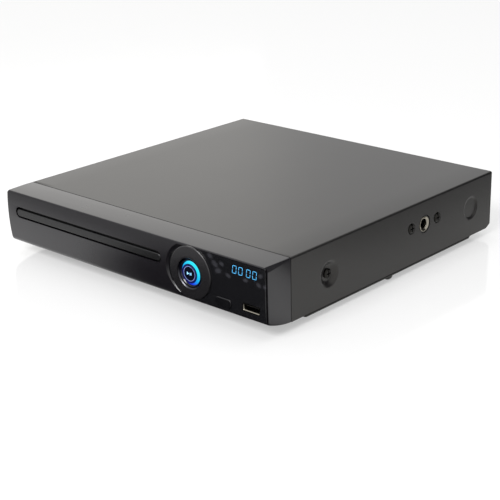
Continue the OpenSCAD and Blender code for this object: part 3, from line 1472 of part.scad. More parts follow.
base_pan();
top_cover();
front_panel();
display_window();
dial_ring();
button_bezel();
play_button();
glow_ring();
open_key();
power_button();
front_board();
push_switches();
led_display();
remote_sensor();
usb_shell();
usb_tongue();
loader_frame();
pivot_bushes();
clamp_bridge();
clamp_puck();
tray();
tray_door();
tray_gear();
tray_gear_axle();
drive_belt();
motor_pulley();
tray_motor();
cam_slider();
deck();
guide_rods();
spindle_motor();
turntable();
turntable_mat();
pickup_sled();
pickup_lens();
sled_gear();
sled_motor();
sled_pinion();
main_board();
board_chips();
power_board();
transformer();
capacitors();
heat_sink();
mains_inlet();
phono_block();
phono_shells();
yellow_ring();
white_ring();
red_ring();
orange_ring();
video_socket();
jack_body();
jack_nose_ring();
jack_bracket();
side_screws();
rear_screws();
board_screws();
ribbon_cables();
rubber_feet();
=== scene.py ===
import json
import math

import bmesh
import bpy
import mathutils
import numpy as np
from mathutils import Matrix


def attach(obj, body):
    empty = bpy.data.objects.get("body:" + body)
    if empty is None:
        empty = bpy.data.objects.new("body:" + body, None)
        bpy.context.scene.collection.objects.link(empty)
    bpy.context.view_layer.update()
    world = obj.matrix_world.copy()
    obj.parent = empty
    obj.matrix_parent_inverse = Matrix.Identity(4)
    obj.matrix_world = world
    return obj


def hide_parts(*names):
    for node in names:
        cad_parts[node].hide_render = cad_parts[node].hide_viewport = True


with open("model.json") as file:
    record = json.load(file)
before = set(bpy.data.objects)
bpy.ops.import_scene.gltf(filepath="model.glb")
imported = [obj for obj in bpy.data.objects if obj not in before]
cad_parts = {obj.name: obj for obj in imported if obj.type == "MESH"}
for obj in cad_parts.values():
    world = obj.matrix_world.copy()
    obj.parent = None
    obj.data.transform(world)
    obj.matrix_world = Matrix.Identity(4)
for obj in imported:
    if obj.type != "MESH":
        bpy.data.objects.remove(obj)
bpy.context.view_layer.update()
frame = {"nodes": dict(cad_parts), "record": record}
mm = 0.001                                       # sizes here are in mm, Blender's in metres


# sRGB hex value to linear colour: c / 12.92 up to 0.04045, above it ((c + 0.055) / 1.055) to the power 2.4
def linear(hexColour):
    c = np.array([int(hexColour[i:i + 2], 16) for i in (1, 3, 5)]) / 255
    c = np.where(c <= 0.04045, c / 12.92, ((c + 0.055) / 1.055) ** 2.4)
    return (*c.tolist(), 1.0)


# smooth shading, but for edges that turn by more than the crease, in degrees
def shadeSmooth(mesh, crease):
    mesh.polygons.foreach_set("use_smooth", np.ones(len(mesh.polygons), bool))
    mesh.set_sharp_from_angle(angle=math.radians(crease))


# puts points (in mm) and faces into a mesh object at the origin
def makePiece(name, points, faces, finish, crease=32):
    mesh = bpy.data.meshes.new(name)
    mesh.from_pydata((np.asarray(points, float).reshape(-1, 3) * mm).tolist(), [], faces)
    mesh.materials.append(finish)
    shadeSmooth(mesh, crease)
    mesh.validate()
    piece = bpy.data.objects.new(name, mesh)
    bpy.context.scene.collection.objects.link(piece)
    return piece


# Quads of a grid of points p[i, j]: each joins (i, j), (i, j + 1), (i + 1, j + 1) and (i + 1, j).
# wrapI and wrapJ join its last row or column to the first
def gridFaces(rows, cols, wrapI=False, wrapJ=False, start=0):
    i = np.arange(rows if wrapI else rows - 1)
    j = np.arange(cols if wrapJ else cols - 1)
    i, j = np.meshgrid(i, j, indexing="ij")
    nextI, nextJ = (i + 1) % rows, (j + 1) % cols
    quads = [i * cols + j, i * cols + nextJ, nextI * cols + nextJ, nextI * cols + j]
    return (np.stack(quads, -1).reshape(-1, 4) + start).tolist()


# Rounds the corners of a path: corner i becomes an arc that starts radii[i] * tan(turn / 2) before it,
# or at most just under half of a side. The arc's points swing evenly from its one end to the other
def softPath(corners, radii, steps=8, closed=False):
    p = np.asarray(corners, float)
    n = len(p)
    out = []
    for i in range(n):
        if not closed and i in (0, n - 1) or radii[i] <= 0:
            out.append(p[i][None])
            continue
        u = p[i - 1] - p[i]
        v = p[(i + 1) % n] - p[i]
        lu, lv = np.linalg.norm(u), np.linalg.norm(v)
        u, v = u / lu, v / lv
        half = math.acos(np.clip(u @ v, -1, 1)) / 2
        reach = min(radii[i] / math.tan(half), 0.49 * lu, 0.49 * lv)
        r = reach * math.tan(half)
        c = p[i] + (u + v) / np.linalg.norm(u + v) * r / math.sin(half)
        a = p[i] + u * reach - c
        b = p[i] + v * reach - c
        t = np.linspace(0, 1, steps)[:, None]
        swing = math.pi - 2 * half
        out.append(c + (np.sin((1 - t) * swing) * a + np.sin(t * swing) * b) / math.sin(swing))
    return np.concatenate(out)


# merges doubles (poles and seams, in metres) and turns all faces outwards
def tidyNormals(piece):
    bm = bmesh.new()
    bm.from_mesh(piece.data)
    bmesh.ops.remove_doubles(bm, verts=bm.verts, dist=1e-7)
    bmesh.ops.dissolve_degenerate(bm, dist=1e-8, edges=bm.edges)
    bmesh.ops.recalc_face_normals(bm, faces=bm.faces)
    bm.to_mesh(piece.data)
    bm.free()
    return piece


# Surface of revolution: the profile (radius, height) turned about an axis through centre.
# Point = centre + radius * (cos a * side + sin a * up) + height * axis
def turned(name, profile, centre, axis, finish, steps=96, closed=True):
    axis = np.array(axis, float)
    side = np.array([0.0, 0, 1]) if abs(axis[2]) < 0.5 else np.array([1.0, 0, 0])
    up = np.cross(axis, side)
    prof = np.asarray(profile, float)
    a = np.linspace(0, 2 * np.pi, steps, endpoint=False)[:, None, None]
    r, h = prof[None, :, :1], prof[None, :, 1:]
    pts = np.array(centre, float) + r * (np.cos(a) * side + np.sin(a) * up) + h * axis
    rows, cols = pts.shape[:2]
    return tidyNormals(makePiece(name, pts, gridFaces(rows, cols, True, closed), finish))


# Prism of a closed outline (two coordinates) between two stations of the third, with end faces.
# A cutter's own finish never shows, so without one it takes the first there is
def prism(name, outline, low, high, along, finish=None):
    o = np.asarray(outline, float)
    n = len(o)
    order = {"x": (2, 0, 1), "y": (0, 2, 1), "z": (0, 1, 2)}[along]
    pts = np.stack([np.column_stack([o, np.full(n, s)])[:, order] for s in (low, high)])
    faces = gridFaces(2, n, False, True) + [list(range(n))[::-1], list(range(n, 2 * n))]
    return tidyNormals(makePiece(name, pts, faces, finish or bpy.data.materials[0]))


# Skin over rows of points, each row a closed outline. The two end rows get faces, or in a ring the last
# row joins the first
def skinned(name, rows, finish, crease=32, ring=False):
    count, n = rows.shape[:2]
    faces = gridFaces(count, n, ring, True)
    if not ring:
        last = (count - 1) * n
        faces += [list(range(n)), list(range(last, last + n))[::-1]]
    return tidyNormals(makePiece(name, rows, faces, finish, crease))


# rows of points from outlines in (x, z), each at its own y
def stacked(outlines, stations):
    pairs = zip(outlines, stations)
    return np.stack([np.column_stack([o[:, 0], np.full(len(o), 1) * y, o[:, 1]]) for o, y in pairs])


# gives a piece the mesh that its modifiers make, and clears them
def applyModifiers(piece):
    graph = bpy.context.evaluated_depsgraph_get()
    mesh = bpy.data.meshes.new_from_object(piece.evaluated_get(graph))
    piece.modifiers.clear()
    old = piece.data
    piece.data = mesh
    mesh.name = piece.name
    bpy.data.meshes.remove(old)


# cuts the cutters out of a piece, or keeps only what they share, and removes them
def combine(piece, cutters, how="DIFFERENCE", crease=32):
    for cutter in cutters:
        cut = piece.modifiers.new("cut", "BOOLEAN")
        cut.operation, cut.solver, cut.object = how, "EXACT", cutter
    applyModifiers(piece)
    for cutter in cutters:
        bpy.data.objects.remove(cutter)
    shadeSmooth(piece.data, crease)
    return piece


# points on a circle: centre + r * (cos a, sin a)
def circle(cx, cy, r, n=96):
    a = np.linspace(0, 2 * np.pi, n, endpoint=False)
    return np.column_stack([cx + r * np.cos(a), cy + r * np.sin(a)])


# the four corners between two pairs of values
def rectangle(u0, u1, v0, v1):
    return [[u0, v0], [u1, v0], [u1, v1], [u0, v1]]


# outline of a rectangle centred at (cx, cy), with a quarter circle of radius r and n points at each corner
def softBox(cx, cy, w, h, r, n=12):
    a = np.linspace(0, np.pi / 2, n)
    q = np.column_stack([np.cos(a), np.sin(a)]) * r
    turns = [(1, 1, q), (-1, 1, q[::-1] * [-1, 1]), (-1, -1, -q), (1, -1, q[::-1] * [1, -1])]
    return np.concatenate([[cx + sx * (w / 2 - r), cy + sy * (h / 2 - r)] + c for sx, sy, c in turns])


# a rectangle whose ends are half circles
def stadiumOutline(cx, cz, w, h):
    return softBox(cx, cz, w, h, h / 2 - 1e-3, 32)


# adds one node with its settings and links: inputs are values or (node, output) pairs
def addNode(tree, kind, inputs=None, **settings):
    node = tree.nodes.new(kind)
    for key, value in settings.items():
        setattr(node, key, value)
    for key, value in (inputs or {}).items():
        if isinstance(value, tuple) and hasattr(value[0], "outputs"):
            tree.links.new(value[0].outputs[value[1]], node.inputs[key])
        else:
            node.inputs[key].default_value = value
    return node


# leads a node's output to a socket of the shader
def lead(node, out, shader, socket):
    shader.id_data.links.new(node.outputs[out], shader.inputs[socket])


# takes values through one operation after the other, such as the greatest or the product of all
def chain(tree, operation, values):
    total = values[0]
    for value in values[1:]:
        total = (addNode(tree, "ShaderNodeMath", {0: total, 1: value}, operation=operation), "Value")
    return total


# a material with its shader; fixed values go on the shader's own sockets
def newFinish(name, hexColour, **fixed):
    mat = bpy.data.materials.new(name)
    mat.use_nodes = True
    tree = mat.node_tree
    shader = tree.nodes["Principled BSDF"]
    shader.inputs["Base Color"].default_value = linear(hexColour)
    for key, value in fixed.items():
        shader.inputs[key.replace("_", " ")].default_value = value
    mat.diffuse_color = linear(hexColour)
    return mat, tree, shader


noiseSpan = {"From Min": 0.3, "From Max": 0.7}   # nearly all of a noise lies between these


# colour that wanders between two hex values with a noise of the given grain, in mm
def mottle(tree, shader, coords, hexA, hexB, grain, detail=3.0, socket="Base Color"):
    noise = addNode(tree, "ShaderNodeTexNoise", {
        "Vector": (coords, "Object"), "Scale": 1 / (grain * mm), "Detail": detail})
    mix = addNode(tree, "ShaderNodeMix", {
        "Factor": (noise, "Fac"), "A": linear(hexA), "B": linear(hexB)}, data_type="RGBA")
    lead(mix, "Result", shader, socket)


# roughness that wanders between two values, as handling and moulding leave it
def wearRoughness(tree, shader, coords, low, high, grain):
    noise = addNode(tree, "ShaderNodeTexNoise", {
        "Vector": (coords, "Object"), "Scale": 1 / (grain * mm), "Detail": 5.0})
    span = addNode(tree, "ShaderNodeMapRange", {
        "Value": (noise, "Fac"), **noiseSpan, "To Min": low, "To Max": high})
    lead(span, "Result", shader, "Roughness")


# raised grain: height in mm, one grain every so many mm
def grainBump(tree, shader, coords, grain, height):
    noise = addNode(tree, "ShaderNodeTexNoise", {
        "Vector": (coords, "Object"), "Scale": 1 / (grain * mm), "Detail": 2.0})
    bump = addNode(tree, "ShaderNodeBump", {
        "Height": (noise, "Fac"), "Distance": height * mm, "Strength": 1.0})
    lead(bump, "Normal", shader, "Normal")


# soft patch: 1 where the distance from a centre, in half sizes, is below inner, and smoothly 0 at outer
def softPatch(tree, coords, centre, halves, inner, outer, turn=(0, 0, 0)):
    place = addNode(tree, "ShaderNodeMapping", {
        "Vector": (coords, "Object"), "Location": centre, "Rotation": turn, "Scale": halves},
        vector_type="TEXTURE")
    far = addNode(tree, "ShaderNodeVectorMath", {0: (place, "Vector")}, operation="LENGTH")
    step = addNode(tree, "ShaderNodeMapRange", {
        "Value": (far, "Value"), "From Min": inner, "From Max": outer, "To Min": 1.0, "To Max": 0.0},
        interpolation_type="SMOOTHSTEP")
    return step, "Result"


# moulded ABS or similar: even pigment, a fine spark-eroded grain from the mould, slightly uneven sheen
def mouldedPlastic(name, hexA, hexB, low, high, grain=0.35, height=0.004, **fixed):
    mat, tree, shader = newFinish(name, hexA, **fixed)
    coords = addNode(tree, "ShaderNodeTexCoord")
    broad = 1 if height else 6                    # a polished face wanders over longer distances
    mottle(tree, shader, coords, hexA, hexB, 18 * broad)
    wearRoughness(tree, shader, coords, low, high, 9 * broad)
    if height:
        grainBump(tree, shader, coords, grain, height)
    return mat


# drawn or rolled metal: streaks 25 times as long as wide, in colour, roughness and bump
def streakedMetal(name, hexA, hexB, low, high, along="y", pitch=0.25, height=0.002):
    mat, tree, shader = newFinish(name, hexA, Metallic=1.0)
    coords = addNode(tree, "ShaderNodeTexCoord")
    stretch = tuple(0.04 if axis == along else 1 for axis in "xyz")
    place = addNode(tree, "ShaderNodeMapping", {"Vector": (coords, "Object"), "Scale": stretch})
    streak = addNode(tree, "ShaderNodeTexNoise", {
        "Vector": (place, "Vector"), "Scale": 1 / (pitch * mm), "Detail": 2.0})
    mix = addNode(tree, "ShaderNodeMix", {
        "Factor": (streak, "Fac"), "A": linear(hexA), "B": linear(hexB)}, data_type="RGBA")
    span = addNode(tree, "ShaderNodeMapRange", {
        "Value": (streak, "Fac"), **noiseSpan, "To Min": low, "To Max": high})
    bump = addNode(tree, "ShaderNodeBump", {
        "Height": (streak, "Fac"), "Distance": height * mm, "Strength": 0.6})
    lead(mix, "Result", shader, "Base Color")
    lead(span, "Result", shader, "Roughness")
    lead(bump, "Normal", shader, "Normal")
    return mat


# powder paint on sheet steel: a fine orange-peel skin with a soft satin sheen
def powderPaint(name, hexA, hexB, low, high):
    # painted warm sheen: the specular tint warms every reflection, as the warm lamp behind warms the top's
    # sheen
    mat, tree, shader = newFinish(name, hexA, IOR=1.47, Specular_Tint=(1.0, 0.98, 0.91, 1.0))
    coords = addNode(tree, "ShaderNodeTexCoord")
    mottle(tree, shader, coords, hexA, hexB, 60)
    wearRoughness(tree, shader, coords, low, high, 60)
    grainBump(tree, shader, coords, 0.9, 0.006)
    return mat


# a leaf: place across and up, half length, half width (mm) and lean (degrees)
leaves = [(70.7, 42.0, 2.6, 1.7, 20), (74.4, 38.0, 3.2, 2.0, 30), (76.9, 34.5, 3.0, 2.0, -15),
          (79.6, 39.2, 2.2, 1.5, 10), (84.5, 33.4, 2.4, 1.5, 20), (97.6, 33.8, 2.4, 1.4, -10),
          (107.4, 33.3, 2.2, 1.6, 25), (112.2, 33.1, 2.0, 1.5, 0), (108.7, 39.0, 2.2, 1.5, -20),
          (68.2, 27.8, 2.4, 1.5, 15)]


# gloss black acrylic with a faint printed pattern of leaves behind it, seen only as a dim change of tone
def displayAcrylic(name, hexGloss, hexLeaf):
    mat, tree, shader = newFinish(name, hexGloss, Roughness=0.05, IOR=1.49)
    coords = addNode(tree, "ShaderNodeTexCoord")
    # a leaf's depth is so great that only the place on the face counts
    shown = [softPatch(tree, coords, (x * mm, 0, z * mm), (long * mm, 1e6, wide * mm), 0.2, 1.25,
                       (0, math.radians(lean), 0)) for x, z, long, wide, lean in leaves]
    mix = addNode(tree, "ShaderNodeMix", {
        "Factor": chain(tree, "MAXIMUM", shown), "A": linear(hexGloss), "B": linear(hexLeaf)},
        data_type="RGBA")
    lead(mix, "Result", shader, "Base Color")
    wearRoughness(tree, shader, coords, 0.04, 0.08, 25)
    return mat


# lacquered board with faint copper tracks below the lacquer, on a 2.5 mm grid
def circuitBoard(name, hexBase, hexTrack):
    mat, tree, shader = newFinish(name, hexBase, Roughness=0.35, IOR=1.5)
    coords = addNode(tree, "ShaderNodeTexCoord")
    tracks = addNode(tree, "ShaderNodeTexBrick", {
        "Vector": (coords, "Object"), "Scale": 1 / (5 * mm), "Color1": linear(hexBase),
        "Color2": linear(hexBase), "Mortar": linear(hexTrack), "Mortar Size": 0.06, "Bias": 0.0,
        "Brick Width": 1.2, "Row Height": 0.5})
    lead(tracks, "Color", shader, "Base Color")
    grainBump(tree, shader, coords, 0.8, 0.01)
    return mat


# soft light of a diffused lamp behind a clear ring: brightest at the upper right, blue towards the lower left
def lampRing(name, centre, reach, tones):
    mat, tree, shader = newFinish(name, "#0c1c30", Roughness=0.2, Emission_Strength=1.0)
    coords = addNode(tree, "ShaderNodeTexCoord")
    place = addNode(tree, "ShaderNodeMapping", {
        "Vector": (coords, "Object"), "Location": tuple(-c * mm for c in centre)})
    side = addNode(tree, "ShaderNodeVectorMath", {
        0: (place, "Vector"), 1: (0.55, 0, 0.83)}, operation="DOT_PRODUCT")
    span = addNode(tree, "ShaderNodeMapRange", {
        "Value": (side, "Value"), "From Min": -reach * mm, "From Max": reach * mm})
    ramp = addNode(tree, "ShaderNodeValToRGB", {"Fac": (span, "Result")})
    stops = ramp.color_ramp.elements
    stops.remove(stops[1])
    for k, (at, hexColour) in enumerate(tones):
        stop = stops.new(at) if k else stops[0]
        stop.color = linear(hexColour)
    lead(ramp, "Color", shader, "Emission Color")
    return mat


# even light of a diode or of a lit print, with a faint change of tone
def litSegment(name, hexColour, strength, hexOther="#9ad8f4"):
    mat, tree, shader = newFinish(name, hexColour, Roughness=0.3, Emission_Strength=strength)
    coords = addNode(tree, "ShaderNodeTexCoord")
    mottle(tree, shader, coords, hexColour, hexOther, 1.2, 1.0, "Emission Color")
    return mat


finishes = dict(
    # powder paint on sheet steel: black with a satin sheen, which is duller on the pan
    cover_paint=powderPaint("powderPaintedCover", "#1a191a", "#1b1a1b", 0.34, 0.35),
    pan_paint=powderPaint("powderPaintedPan", "#161617", "#1a1a1b", 0.42, 0.5),
    # ABS from a polished mould: a near-black face that shows the room as soft lights
    front_plastic=mouldedPlastic("mouldedAbsFront", "#131115", "#151317", 0.27, 0.29, height=0, IOR=1.56),
    dial_plastic=mouldedPlastic("mouldedAbsDial", "#1a191b", "#1c1b1d", 0.24, 0.27, height=0, IOR=1.6),
    door_plastic=mouldedPlastic("mouldedAbsDoor", "#0f0f10", "#121213", 0.28, 0.31, height=0),
    # gloss ABS and clear filter plastic: sharp small lights on black, bluish and reddish
    key_gloss=mouldedPlastic("glossAbsKey", "#0a0c18", "#0d0f1e", 0.08, 0.14, 1.0, 0.0005),
    power_key_plastic=mouldedPlastic("glossAbsPowerKey", "#0c0c0e", "#121214", 0.12, 0.2, 0.8, 0.001),
    sensor_plastic=mouldedPlastic("infraredFilterPlastic", "#1c1220", "#241828", 0.1, 0.18, 1.0, 0.001),
    # printed acrylic: a deep gloss black in which dim leaves show
    window_gloss=displayAcrylic("acrylicWindow", "#141416", "#303034"),
    # chrome dimmed by a dark coat: grey with a bright line along its round edge
    bezel_chrome=streakedMetal("darkChromedBezel", "#4a4a4e", "#434347", 0.26, 0.32),
    # clear ring before a lamp, and the lit or printed signs: cyan to blue, pale blue, navy and grey-blue
    lit_ring=lampRing("lampDiffuser", (55.2, -118, 27.6), 7.4,
                      [(0, "#1a1ad8"), (0.22, "#2050f0"), (0.5, "#17b4f2"), (0.9, "#32eeff")]),
    digit_light=litSegment("diodeSegment", "#45a0d6", 0.85, "#58ace0"),
    sign_light=litSegment("printedSign", "#8fd0ff", 0.7),
    navy_print=litSegment("printedNavyInk", "#05063c", 0.6, "#070a4c"),
    circle_light=litSegment("printedCircleInk", "#7a8ac0", 0.42, "#8a94c4"),
    # plated and blackened steel: warm grey mirror on the jack, brown-black on the screws
    plated_steel=streakedMetal("nickelPlatedSteel", "#a39e92", "#8f8a7e", 0.14, 0.24),
    screw_steel=streakedMetal("blackenedScrewSteel", "#2f2e2c", "#242321", 0.2, 0.32),
    # rolled, ground, zinc-plated and die-cast metal: cool greys with fine streaks, from dull to bright
    bare_steel=streakedMetal("rolledSteel", "#b2b5b9", "#9ca0a4", 0.25, 0.42, "x"),
    bright_steel=streakedMetal("groundSteelRod", "#c6c8cb", "#b6b9bc", 0.12, 0.22),
    motor_can=streakedMetal("zincPlatedCan", "#a9acb0", "#999ca0", 0.28, 0.4, "x"),
    heat_sink_alloy=streakedMetal("extrudedAluminium", "#a2a6aa", "#8e9296", 0.3, 0.45, "z"),
    sled_alloy=streakedMetal("dieCastAlloy", "#a8abae", "#989b9e", 0.42, 0.55, pitch=0.8),
    # turned brass is a warm yellow, and a core of stamped sheets shows as dark stripes
    brass_pulley=streakedMetal("turnedBrass", "#c9a24a", "#b08a3a", 0.2, 0.32, "x"),
    core_steel=streakedMetal("laminatedCore", "#5a5a5c", "#3e3e40", 0.4, 0.6, pitch=0.5, height=0.02),
    # plastic with mould grain: dull, from black to mid grey, coarser where glass fibre fills it
    tray_plastic=mouldedPlastic("mouldedAbsTray", "#1d1d1f", "#232325", 0.34, 0.46, 0.6, 0.006),
    loader_plastic=mouldedPlastic("glassFilledLoader", "#1b1b1d", "#242426", 0.42, 0.55, 0.7, 0.01),
    deck_plastic=mouldedPlastic("glassFilledDeck", "#4e5155", "#585b5f", 0.42, 0.55, 0.7, 0.01),
    display_module=mouldedPlastic("displayHousing", "#2a2f36", "#31363e", 0.4, 0.5),
    lens_holder_plastic=mouldedPlastic("mouldedLensHolder", "#2b3038", "#343a44", 0.3, 0.4),
    chip_plastic=mouldedPlastic("epoxyChipPackage", "#17171a", "#202024", 0.5, 0.62, 0.4, 0.006),
    # the same in pale tones, with a smoother skin on acetal, film and sleeves; the sockets follow below
    pale_plastic=mouldedPlastic("mouldedPalePlastic", "#d6d4cc", "#cbc9c0", 0.4, 0.5),
    white_acetal=mouldedPlastic("mouldedAcetal", "#e6e4da", "#dcdad0", 0.3, 0.42, 0.6, 0.003),
    ribbon_film=mouldedPlastic("polyesterFilm", "#d8d8d2", "#cacac4", 0.3, 0.4, 1.0, 0.002),
    capacitor_sleeve=mouldedPlastic("shrinkSleeve", "#1c2a48", "#22304e", 0.2, 0.3, 0.8, 0.002),
    socket_black=mouldedPlastic("mouldedSocketBlack", "#141416", "#1b1b1d", 0.35, 0.48),
    # vulcanised rubber: flat black, hardly any light on it
    soft_rubber=mouldedPlastic("mouldedRubber", "#161616", "#1e1e1e", 0.65, 0.8, 0.5, 0.01),
    foot_rubber=mouldedPlastic("mouldedFootRubber", "#131313", "#1a1a1a", 0.7, 0.85, 0.5, 0.012),
    # lacquered boards: glass fibre is green, phenolic paper is tan
    green_board=circuitBoard("epoxyGlassBoard", "#1d5a38", "#2b7a4c"),
    tan_board=circuitBoard("paperPhenolicBoard", "#a8824a", "#8e6c3a"),
)
for tone, hexA, hexB in (("yellow", "#e0b41c", "#d2a616"), ("white", "#e4e3de", "#d8d7d2"),
                         ("red", "#b81f26", "#a81a20"), ("orange", "#e07a1c", "#d06e16")):
    finishes["socket_" + tone] = mouldedPlastic("mouldedSocket" + tone.title(), hexA, hexB, 0.32, 0.42)
print("materials made:", len(finishes))

# every CAD node takes the finish of its slot
slots = [row["slot"] for row in frame["record"]["materials"]]
for obj in frame["nodes"].values():
    for k, held in enumerate(obj.data.materials):
        slotName = held.name.split(".")[0] if held else ""
        if slotName in slots:
            obj.data.materials[k] = finishes[slotName]
print("CAD nodes dressed:", len(frame["nodes"]))


front = dict(crown=-117.9, faceRadius=134, faceZ=32, cornerRadius=4.2, keelRadius=60, keelY=-91.9,
             keelZ=4.95, topZ=44.5, seamY=-96.5, halfWidth=112.5, wall=2, endRound=1.2, topRound=0.5,
             seamChamfer=0.15, lipY=-83.9)
# the pane is flatter than the shell and ends in a tight lower corner
pane = dict(front, crown=-117.6, faceRadius=700, cornerRadius=1.2, keelRadius=600, keelY=-100, keelZ=10.6,
            endRound=0.6)


# direction of a vector in degrees, from 0 to 360
def bearing(v):
    return math.degrees(math.atan2(v[1], v[0])) % 360


# n points on an arc from a0 to a1, in degrees: centre + r * (cos a, sin a)
def arcPoints(c, r, a0, a1, n):
    a = np.radians(np.linspace(a0, a1, n))
    return np.column_stack([c[0] + r * np.cos(a), c[1] + r * np.sin(a)])


# Side profile of the front as (y, z), shrunk inward by inset: top strip, small round, large face arc,
# rolled lower corner and the underside's arc, up to the station rear. The rolled corner is centred where
# two circles meet, each about one large arc's centre and smaller than it by the corner's radius
def faceProfile(inset, rear, chamfer=0, f=front):
    faceCentre = np.array([f["crown"] + f["faceRadius"], f["faceZ"]])
    keelCentre = np.array([f["keelY"], f["keelZ"] + f["keelRadius"]])
    r1, r2 = f["faceRadius"] - f["cornerRadius"], f["keelRadius"] - f["cornerRadius"]
    v = keelCentre - faceCentre
    d = np.linalg.norm(v)
    u = v / d
    a = (r1 * r1 - r2 * r2 + d * d) / (2 * d)
    h = math.sqrt(r1 * r1 - a * a)
    cross = h * np.array([-u[1], u[0]])
    corner = min([faceCentre + a * u + cross, faceCentre + a * u - cross], key=lambda q: q[0])
    topZ = f["topZ"] - inset
    faceRadius = f["faceRadius"] - inset
    soft = f["topRound"]
    roundZ = topZ - soft
    roundY = faceCentre[0] - math.sqrt((faceRadius - soft) ** 2 - (roundZ - f["faceZ"]) ** 2)
    roundCentre = np.array([roundY, roundZ])
    top = bearing(roundCentre - faceCentre)
    low, under = bearing(corner - faceCentre), bearing(corner - keelCentre)
    keelRadius = f["keelRadius"] - inset
    end = 270 - math.degrees(math.asin((f["keelY"] - rear) / keelRadius)) if rear < f["keelY"] else 270
    seam = [[rear, topZ - chamfer], [rear - chamfer, topZ]] if chamfer else [[rear, topZ]]
    parts = [seam, arcPoints(roundCentre, soft, 90, top, 8),
             arcPoints(faceCentre, faceRadius, top, low, 84)[1:],
             arcPoints(corner, f["cornerRadius"] - inset, low, under, 24)[1:],
             arcPoints(keelCentre, keelRadius, under, end, 32)[1:]]
    if rear > f["keelY"]:
        parts.append([[rear, f["keelZ"] + inset]])
    return np.concatenate(parts)


# y of a form's face at a height: crown + R - sqrt(R^2 - (z - middle)^2)
def faceY(z, f):
    return f["crown"] + f["faceRadius"] - np.sqrt(f["faceRadius"] ** 2 - (np.asarray(z) - f["faceZ"]) ** 2)


# solid whose side profile is carried along x: each station has the profile for its inset
def carriedSolid(name, stations, insets, profileAt, finish):
    rows = [np.column_stack([np.full(len(p), x), p]) for x, p in zip(stations, map(profileAt, insets))]
    return skinned(name, np.stack(rows), finish)


# rounding of the right end: at angle t from it x is half - e (1 - cos t), and the inset is e (1 - sin t)
def roundedEnd(half, e, steps):
    t = np.linspace(0, np.pi / 2, steps)[::-1]
    return half - e * (1 - np.cos(t)), e * (1 - np.sin(t))


slot = dict(x=-36.2, z=31.28, w=134.6, h=7.35, linerFrom=1.2, linerTo=7.5, linerWall=1.3)
dial = dict(x=55.2, z=27.6, ring=16.1, ringX=55.3, ringZ=28.1, ringHeight=3.05, pocket=1.9, bezel=9.6,
            play=8.15, glowIn=5.9, glowOut=7.3, front=-1.0, back=6.2, rim=6.45, groove=5.8)
scoop = dict(x=53.1, r=18.0, depth=2.4, low=9.2, high=43.1, floor=15.6, backing=19.5, backingDepth=4.2)
power = dict(x=80.6, z=16.2, w=11.5, h=5.6, proud=0.8)
usb = dict(x=101.2, z=17.4, w=12.5, h=4.5, gap=0.7)
window = dict(x0=58.4, z0=10.6, z1=43.6, t=1.6, depth=2.5, chinX=46, chinZ=15, fit=0.1)
ahead = front["crown"] - 4                       # cutters start clear of the face here
far = 60                                         # and end clear of the object there, upwards


# Tapered facet along the top side edge, as a block that cuts it off: it starts frontIn from the side at the
# face and rearIn from it at the seam, and it falls by rise for each step outwards
def facetBlock(side, frontIn=1.1, rearIn=0.4, rise=3):
    lean = math.atan(rise)
    run = math.atan((frontIn - rearIn) * math.sin(lean) / (front["seamY"] - front["crown"]))
    corner = np.array([[x, y, z] for x in (-8, 16) for y in (-8, 52) for z in (0, 8)], float)
    turnX = np.array([[1, 0, 0], [0, math.cos(run), -math.sin(run)], [0, math.sin(run), math.cos(run)]])
    turnY = np.array([[math.cos(lean), 0, math.sin(lean)], [0, 1, 0], [-math.sin(lean), 0, math.cos(lean)]])
    pts = corner @ turnX.T @ turnY.T + [front["halfWidth"] - frontIn, front["crown"], front["topZ"]]
    pts[:, 0] *= side
    faces = [[0, 1, 3, 2], [4, 6, 7, 5], [0, 4, 5, 1], [2, 3, 7, 6], [0, 2, 6, 4], [1, 5, 7, 3]]
    return tidyNormals(makePiece("facet", pts, faces, finishes["front_plastic"]))


# cutters of the power key's hole, wider than the key by a gap, and of the socket's opening
def keyCuts(gap, corner):
    rear = front["crown"] + 8
    hole = softBox(power["x"], power["z"], power["w"] + gap, power["h"] + gap, corner)
    opening = softBox(usb["x"], usb["z"], usb["w"] + usb["gap"], usb["h"] + usb["gap"], 0.4)
    return [prism("powerCut", hole, ahead, rear, "y"), prism("usbCut", opening, ahead, rear, "y")]


# cutter of the hollow beside the dial: a bowl with a soft rim, cut level at its top and bottom
def hollowCut():
    s, c = scoop, front["crown"]
    out = s["r"] + 0.5
    path = [[0, s["depth"]], [s["floor"], s["depth"]], [s["r"], 0.25], [out, -0.5], [out, -3], [0, -3]]
    bowl = turned("hollowCut", softPath(path, [0, 1.2, 0.5, 0, 0, 0], 8), (s["x"], c, dial["z"]), (0, 1, 0),
                  finishes["front_plastic"], 160)
    half = rectangle(dial["x"] - 40, dial["x"], s["low"], s["high"])
    return combine(bowl, [prism("hollowLimit", half, c - 6, c + 6, "y")], "INTERSECT")


